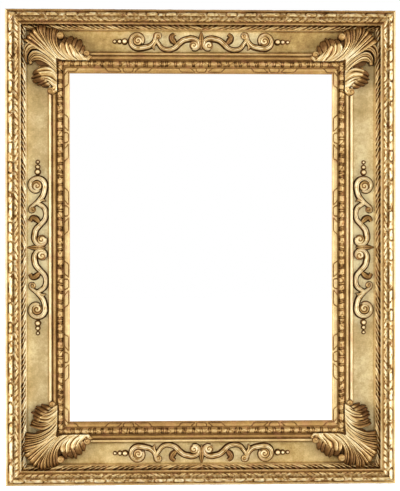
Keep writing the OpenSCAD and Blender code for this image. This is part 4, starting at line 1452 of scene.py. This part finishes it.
STILE_SCROLL = ScrollDesign(
    SIZES.stile_scroll, (14, 0.5), 14.5, 1.0,
    stem=((31, -0.2), (40, 0.35), (48, 0.85), (58, 1), (67, 0.85), (73, 0.4), (76, -0.05)),
    lead=((66, -0.53), (62, -0.58), (63, -0.9), (69, -0.86), (74, -0.4), (80, 0.1), (90, 0.66)),
    husk=((42, 0.28), (49, -0.2), (51, -0.65), (45, -0.95)),
    tendril=((79, 0), (82, 0.5), (79, 1.02)),
)
RAIL_SCROLL = ScrollDesign(
    SIZES.rail_scroll, (13, 0.45), 13.5, 0.92,
    stem=((30, -0.2), (38, 0.2), (46, 0.75), (57, 1), (67, 0.8), (73, 0.3), (77, -0.1)),
    lead=((75, -0.58), (71, -0.62), (72, -0.94), (78, -0.88), (79, -0.4), (82, 0.1), (90, 0.58)),
    husk=((43, 0.3), (49, -0.15), (51, -0.6), (46, -0.95)),
    tendril=((80, 0), (83, 0.5), (80, 1.02)),
)
KNOT_LEAVES = ((-9, 7, 3.6), (9, 7, 3.4), (-2, -7, 3.0))


@dataclass
class ScrollOrnament(MemberPiece):
    """Scroll ornament in the middle of one side of the frieze.

    Strands of relief follow paths in u, from the middle outwards, and v, from
    the middle of the frieze towards the opening.
    """

    title: ClassVar[str] = "scroll_relief"
    slot: ClassVar[str] = "gilt_scroll"
    node: ClassVar[str] = "scroll"

    half_w: float = 4.2
    rise: float = 6.9
    reach: float = 14.1
    foot: float = 0.05
    base: float = 0.55
    around: int = 24
    leaf_around: int = 18
    step: float = 1.0

    def put(self, mirror: int) -> Put:
        """Gives the function that places points of one half of the ornament."""
        return lambda u, v, t: SIZES.place(self.side, mirror * u, SIZES.frieze_mid + v, t)

    def drawn(self, points: tuple) -> Array:
        """Points of the design in u and v."""
        return np.array(points, dtype=float) * (1.0, self.reach)

    def carry(self, shell: Shell, line: Array, across: Array, rise: Array, tone: Array, mirror: int) -> None:
        """Adds the rings of a section carried along a line, with the ends of each on the frieze.

        Args:
            shell: what it is added to.
            line: points in u and v.
            across: distance from the line of each point of the rings.
            rise: its height.
            tone: its tone.
            mirror: -1 or 1, the half of the ornament.
        """
        place = line[:, None, :] + line_normals(line)[:, None, :] * across[..., None]
        t = rise + self.base
        t[:, [0, -1]] = self.foot
        shell.add_rings(self.put(mirror)(place[..., 0], place[..., 1], t), tone)

    def strand(self, shell: Shell, path: Array, full: float, ends: tuple[float, float], mirror: int,
               flutes: tuple = (-0.28, 0.42), bright: float = 1.12) -> None:
        """Adds a strand: a domed section with flutes and a dark skirt, carried along a path; the skirt is
        dark glaze and painted shade at its foot.

        The section's height is sin(a)^0.6 of its rise, less the flutes, and its
        width swells from the ends as far as full.

        Args:
            shell: what it is added to.
            path: points in u and v.
            full: half width where it is widest.
            ends: share of that at the first and the last point.
            mirror: -1 or 1, the half of the ornament.
            flutes: places of the flutes across the strand, from -1 to 1.
            bright: tone of its face.
        """
        line = even_steps(path, self.step)
        f = np.linspace(0, 1, len(line))
        run = f * len(line) * self.step
        swell = np.minimum(ends[0] + (1 - ends[0]) * f / 0.35, ends[1] + (1 - ends[1]) * (1 - f) / 0.5)
        width = full * np.minimum(1, swell) * (1 + 0.07 * wander(run / 9, f * 0, 71 + len(line)))
        tall = self.rise * (0.40 + 0.60 * width / self.half_w)
        a = np.linspace(0, np.pi, self.around)
        across = -np.cos(a)
        flute = sum(line_mark(across - place, 0.13) for place in flutes) * np.sin(a) ** 0.3
        # Painted light: darker on the rails, shaded down the flanks and in the flutes, with a painted
        # highlight near the crest; the skirt is painted dark.
        lit = bright * self.side.pick(0.98, 0.74)
        tone = lit * smooth_step(0.30, 0.85, np.sin(a)) - 0.45 * flute + 0.30 * line_mark(across - 0.07, 0.16)
        tone = with_skirt(tone, 0.04, 0.04)
        dome = with_skirt(np.sin(a) ** 0.6 * (1 - 0.20 * flute), 0, 0)
        skirt = 1 + 2.0 / full
        across = with_skirt(across, -skirt, skirt)
        mottled = tone[None, :] * (0.90 + 0.36 * wander(run[:, None] / 6, across[None, :] * 1.6, 72))
        self.carry(shell, line, across[None, :] * width[:, None], dome[None, :] * tall[:, None],
                   np.maximum(mottled, 0.03), mirror)

    def leaflet(self, shell: Shell, path: Array, width: float, mirror: int, tall: float = 0.8,
                bright: float = 0.95) -> None:
        """Adds a pointed leaf along a path, grooved down its middle; its width falls as (1-f)^0.7.

        Args:
            shell: what it is added to.
            path: points in u and v.
            width: half width at the foot.
            mirror: -1 or 1, the half of the ornament.
            tall: height as a share of the rise.
            bright: tone of its face.
        """
        line = even_steps(path, self.step)
        f = np.linspace(0, 1, len(line))[:, None]
        a = np.linspace(0, np.pi, self.leaf_around)
        groove = line_mark(np.cos(a), 0.16)
        wide = width * np.maximum(1 - f, 0.05) ** 0.7 * (0.75 + 0.25 * smooth_step(0, 0.3, f))
        skirt = 1.7 * (1 - 0.6 * f) * with_skirt(0 * a, -1.0, 1.0)
        across = with_skirt(-np.cos(a), -1.0, 1.0)[None, :] * wide + skirt
        dome = with_skirt(np.sin(a) ** 0.6 * (1 - 0.28 * groove), 0, 0)
        # Painted light: darker on the rails, shaded down the flanks, in the groove and towards the tip; the
        # skirt is dark glaze and painted shade.
        lit = bright * self.side.pick(1.0, 0.8)
        face = with_skirt(lit * smooth_step(0.25, 0.85, np.sin(a)) - 0.5 * groove, 0.12, 0.12)
        self.carry(shell, line, across, self.rise * tall * (1 - 0.55 * f) * dome[None, :],
                   np.maximum(face[None, :] * (1 - 0.25 * f), 0.08), mirror)

    def half(self, shell: Shell, mirror: int) -> None:
        """Adds one half: arch, outer run, rolled ends, husk, tendril and the leaves of the knot.

        Args:
            shell: what it is added to.
            mirror: -1 or 1, the half of the ornament.
        """
        design = self.side.pick(STILE_SCROLL, RAIL_SCROLL)
        put = self.put(mirror)
        stem, lead = self.drawn(design.stem), self.drawn(design.lead)
        outer_r = design.outer_share * self.reach
        inner_at = (design.inner[0], design.inner[1] * self.reach)
        outer_at = (design.length - self.half_w - outer_r, -0.1 * self.reach)
        inner = spiral(inner_at, (150, 520), (design.inner_r, 2.6), 0.75, 60)[:38][::-1]
        outer = spiral(outer_at, (-10, 415), (outer_r, 3.0), 1.9, 90)[:66]
        arch = np.vstack([inner[:-4], smooth_path(np.vstack([inner[-4:-3], inner[-1:], stem]))])
        run = np.vstack([smooth_path(np.vstack([lead, outer[:1], outer[5:6]])), outer[6:]])
        self.strand(shell, arch, self.half_w, (0.55, 0.75), mirror)
        self.strand(shell, run, self.half_w, (0.45, 0.6), mirror)
        bulb_at = (lead[0, 0] - 0.6, lead[0, 1] - 1.0)
        full = self.rise + 0.3
        for centre, size, sunk, turns, hand, bright in (
                (inner_at, 0.56 * design.inner_r, 0.4, 1.4, -mirror, 1.06),
                (outer_at, 0.66 * outer_r, 0.6, 1.7, mirror, 1.0),
                (bulb_at, self.half_w * 1.3, 0.2, 1.2, mirror, 0.7)):
            RolledEnd(size, (0.4, 2.6, full - sunk), turns, hand, bright).add_to(shell, put, centre)
        husk = smooth_path(self.drawn(design.husk))
        self.strand(shell, husk, self.half_w * 0.95, (0.55, 0.65), mirror, (0.1,), 0.50)
        self.leaflet(shell, smooth_path(self.drawn(design.tendril)), 5.0, mirror, 0.95)
        for du, dv, wide in KNOT_LEAVES:
            leaf = stem[-1] + np.array([(2, -1), (du / 2, dv / 2 + 1), (du, dv)])
            self.leaflet(shell, smooth_path(leaf), wide, mirror, 1.0)

    def shape(self) -> Shell:
        """Both halves, and the spike and the leaf in the middle.

        Returns:
            The shell.
        """
        shell = Shell()
        self.half(shell, -1)
        self.half(shell, 1)
        spike = np.array([(0.0, 1.0), (0.0, -8.0), (0.0, -18.2)])
        leaf = np.array([(0.0, -2.0), (0.0, 6.0), (0.0, self.reach)])
        self.leaflet(shell, spike, self.half_w * 1.35, 1, 0.95, 0.62)
        self.leaflet(shell, leaf, self.half_w * 1.1, 1, 0.9, 0.8)
        return shell


@dataclass
class BeadDrops(MemberPiece):
    """Three beads of falling size beyond each end of a scroll ornament, each in a thin collar painted dark as
    shade.
    """

    title: ClassVar[str] = "beads"
    slot: ClassVar[str] = "gilt_bead"
    node: ClassVar[str] = "bead_drops"

    radii: tuple = (4.6, 3.5, 2.62)
    sink: float = 0.8
    pitch: float = 8.6
    gap: float = 1.2
    collar: float = 1.3
    collar_top: float = 0.6
    collar_shade_tone: float = 0.10

    def bead(self, shell: Shell, centre: float, radius: float) -> None:
        """Adds a bead: each ring's radius is that of a sphere cut off below its middle.

        Args:
            shell: what it is added to.
            centre: its place along the member.
            radius: its radius.
        """
        turn = np.linspace(0, 2 * np.pi, 32, endpoint=False)[None, :]
        rise = np.linspace(-0.35, np.pi / 2 - 0.04, 16)[:, None]
        reach = np.vstack([[[radius + self.collar]] * 2, radius * np.cos(rise)])
        dome = radius - self.sink + radius * np.sin(rise) * 0.98
        t = np.vstack([[[0.1], [self.collar_top]], np.maximum(dome, self.collar_top)])
        s = SIZES.frieze_mid + reach * np.sin(turn)
        ring = SIZES.place(self.side, centre + reach * np.cos(turn), s, t)
        # Painted light: dark low on the bead and a painted highlight on its top; the collar is painted shade.
        lit = 0.04 + 0.86 * smooth_step(0.45, 0.92, np.sin(rise))
        shell.add_rings(ring, np.vstack([[[self.collar_shade_tone]] * 2, lit]) + 0 * turn)

    def shape(self) -> Shell:
        """The beads at both ends.

        Returns:
            The shell.
        """
        shell = Shell()
        first = self.side.pick(SIZES.stile_scroll, SIZES.rail_scroll) + self.radii[0] + self.gap
        for end in (-1, 1):
            for number, radius in enumerate(self.radii):
                self.bead(shell, end * (first + self.pitch * number), radius)
        return shell


class Fittings:
    """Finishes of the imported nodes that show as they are: back frame, pegs, hangers, buttons and screws."""

    def dress(self) -> None:
        """Gives each node of a kind its material."""
        brass = OldMetal("brass_hangers", (0.62, 0.46, 0.20), (0.36, 0.24, 0.10), 0.34).material()
        steel = OldMetal("steel_screws", (0.48, 0.46, 0.43), (0.25, 0.22, 0.19), 0.36).material()
        kinds = {
            "back_stile": OldWood("pine_upright", True).material(),
            "back_rail": OldWood("pine_level", False).material(),
            "lap_pegs": OldWood("beech_pegs", False, (0.36, 0.21, 0.10), (0.20, 0.10, 0.05)).material(),
            "moulding_nails": OldMetal("iron_nails", (0.30, 0.27, 0.24), (0.12, 0.08, 0.06), 0.55).material(),
            "hanger_strap": brass,
            "hanger_ring": brass,
            "turn_button": OldMetal("brass_buttons", (0.55, 0.42, 0.20), (0.30, 0.21, 0.10), 0.42).material(),
            "hanger_screws": steel,
            "button_screws": steel,
        }
        for name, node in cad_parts.items():
            for start, finish in kinds.items():
                if name.startswith(start):
                    for slot in node.material_slots:
                        slot.material = finish
                    log.info("%s: %s", name, finish.name)


@dataclass(frozen=True)
class PhotoCamera:
    """The camera, at the angle from which the frame was photographed."""

    place: tuple = (-0.09862, -2.5, -0.34376)
    turn: tuple = (1.56438, 0.0005, -0.03898)
    focal_px: float = 1432.84
    image_w: int = 400
    sensor_mm: float = 36.0

    def build(self) -> None:
        """Makes the camera; the lens is the focal length in pixels times sensor width over image width."""
        data = bpy.data.cameras.new("photo_camera")
        data.sensor_fit = "HORIZONTAL"
        data.sensor_width = self.sensor_mm
        data.lens = self.focal_px * self.sensor_mm / self.image_w
        camera = bpy.data.objects.new("photo_camera", data)
        camera.location = self.place
        camera.rotation_euler = self.turn
        bpy.context.scene.collection.objects.link(camera)
        bpy.context.scene.camera = camera
        log.info("camera: lens %.1f mm", data.lens)


@dataclass(frozen=True)
class Studio:
    """Pale floor, white surroundings and soft lights from both sides."""

    floor_z: float = -1.07
    floor_half: float = 14.0
    floor_glow: float = 0.75
    world_level: float = 0.42
    side_watts: float = 56.0
    side_turn: float = math.radians(66)
    front_watts: float = 12.0
    front_turn: float = math.radians(68)

    def world(self) -> None:
        """Makes the world: level light, and white where it is seen or mirrored."""
        made = bpy.data.worlds.new("studio")
        bpy.context.scene.world = made
        made.use_nodes = True
        n = Nodes(made.node_tree)
        path = n.node("ShaderNodeLightPath").outputs
        seen = n.math("MAXIMUM", n.math("MAXIMUM", path["Is Camera Ray"], path["Is Glossy Ray"]),
                      path["Is Transmission Ray"])
        level = n.out("ShaderNodeBackground", {"Color": (1, 1, 1, 1), "Strength": self.world_level})
        white = n.out("ShaderNodeBackground", {"Color": (1, 1, 1, 1), "Strength": 1.0})
        both = n.out("ShaderNodeMixShader", {0: seen, 1: level, 2: white})
        n.node("ShaderNodeOutputWorld", {"Surface": both})

    def floor(self) -> None:
        """Makes the floor, a pale matt sheet that takes the shadow and glows a little to the camera."""
        h, z = self.floor_half, self.floor_z
        mesh = bpy.data.meshes.new("floor")
        mesh.from_pydata([(-h, -h, z), (h, -h, z), (h, h, z), (-h, h, z)], [], [(0, 1, 2, 3)])
        made = bpy.data.materials.new("pale_floor")
        made.use_nodes = True
        n = Nodes(made.node_tree)
        at = n.node("ShaderNodeTexCoord").outputs["Object"]
        colour = n.ramp(n.noise(at, 3.0), [(0.3, (0.86, 0.86, 0.86)), (0.7, (0.90, 0.90, 0.90))])
        plain = n.out("ShaderNodeBsdfPrincipled", {"Base Color": colour, "Roughness": 0.9})
        glow = n.out("ShaderNodeEmission", {"Color": (1, 1, 1, 1), "Strength": self.floor_glow})
        off = n.out("ShaderNodeEmission", {"Color": (0, 0, 0, 1), "Strength": 0.0})
        seen = n.node("ShaderNodeLightPath").outputs["Is Camera Ray"]
        lift = n.out("ShaderNodeMixShader", {0: seen, 1: off, 2: glow})
        n.node("ShaderNodeOutputMaterial", {"Surface": n.out("ShaderNodeAddShader", {0: plain, 1: lift})})
        mesh.materials.append(made)
        sheet = bpy.data.objects.new("floor", mesh)
        bpy.context.scene.collection.objects.link(sheet)

    def light(self, name: str, place: tuple, turn: tuple, size: tuple, watts: float) -> None:
        """Adds a soft rectangular light.

        Args:
            name: the light's name.
            place: where it stands, in metres.
            turn: its rotation.
            size: width and height.
            watts: its power.
        """
        data = bpy.data.lights.new(name, "AREA")
        data.shape = "RECTANGLE"
        data.size, data.size_y = size
        data.energy = watts
        lamp = bpy.data.objects.new(name, data)
        lamp.location = place
        lamp.rotation_euler = turn
        bpy.context.scene.collection.objects.link(lamp)

    def build(self) -> None:
        """Makes the world, the floor and the lights."""
        bpy.context.scene.view_settings.view_transform = "Standard"
        self.world()
        self.floor()
        for name, hand in (("side_light_left", -1), ("side_light_right", 1)):
            self.light(name, (hand * 2.3, -1.1, -0.30), (math.pi / 2, 0, hand * self.side_turn), (1.0, 1.8),
                       self.side_watts)
        self.light("front_light", (0, -3.2, 0.9), (self.front_turn, 0, 0), (2.4, 1.4), self.front_watts)
        log.info("studio: world, floor and three lights")


def main() -> None:
    """Builds the stage and then each piece of the frame, and reports each one."""
    logging.basicConfig(level=logging.INFO, format="%(name)s: %(message)s")
    PhotoCamera().build()
    Studio().build()
    outer = Gilding("gilded_outer", red_share=0.34)
    sight = Gilding("gilded_sight", red_share=0.42)
    matt = Gilding("gilded_frieze", gold=(0.46, 0.305, 0.10), pale=(0.71, 0.53, 0.24),
                   cream=(0.97, 0.82, 0.45), red_share=0.10, mottle=0.25, metallic=0.15, roughness=0.55)
    leaf = Gilding("gilded_leaf", red_share=0.16, metallic=0.30, roughness=0.33, gloss=0.6).material()
    relief = Gilding("gilded_scroll", red_share=0.26, metallic=0.25, roughness=0.36, gloss=0.5).material()
    kinds = {OuterMoulding: outer.material(), SightMoulding: sight.material(), FriezeSkin: matt.material(),
             ScrollOrnament: relief, BeadDrops: relief}
    for side in Side:
        for kind, finish in kinds.items():
            kind(side).build(finish)
    for corner in Corner:
        CornerLeaf(corner).build(leaf)
    Fittings().dress()


if __name__ == "__main__":
    main()
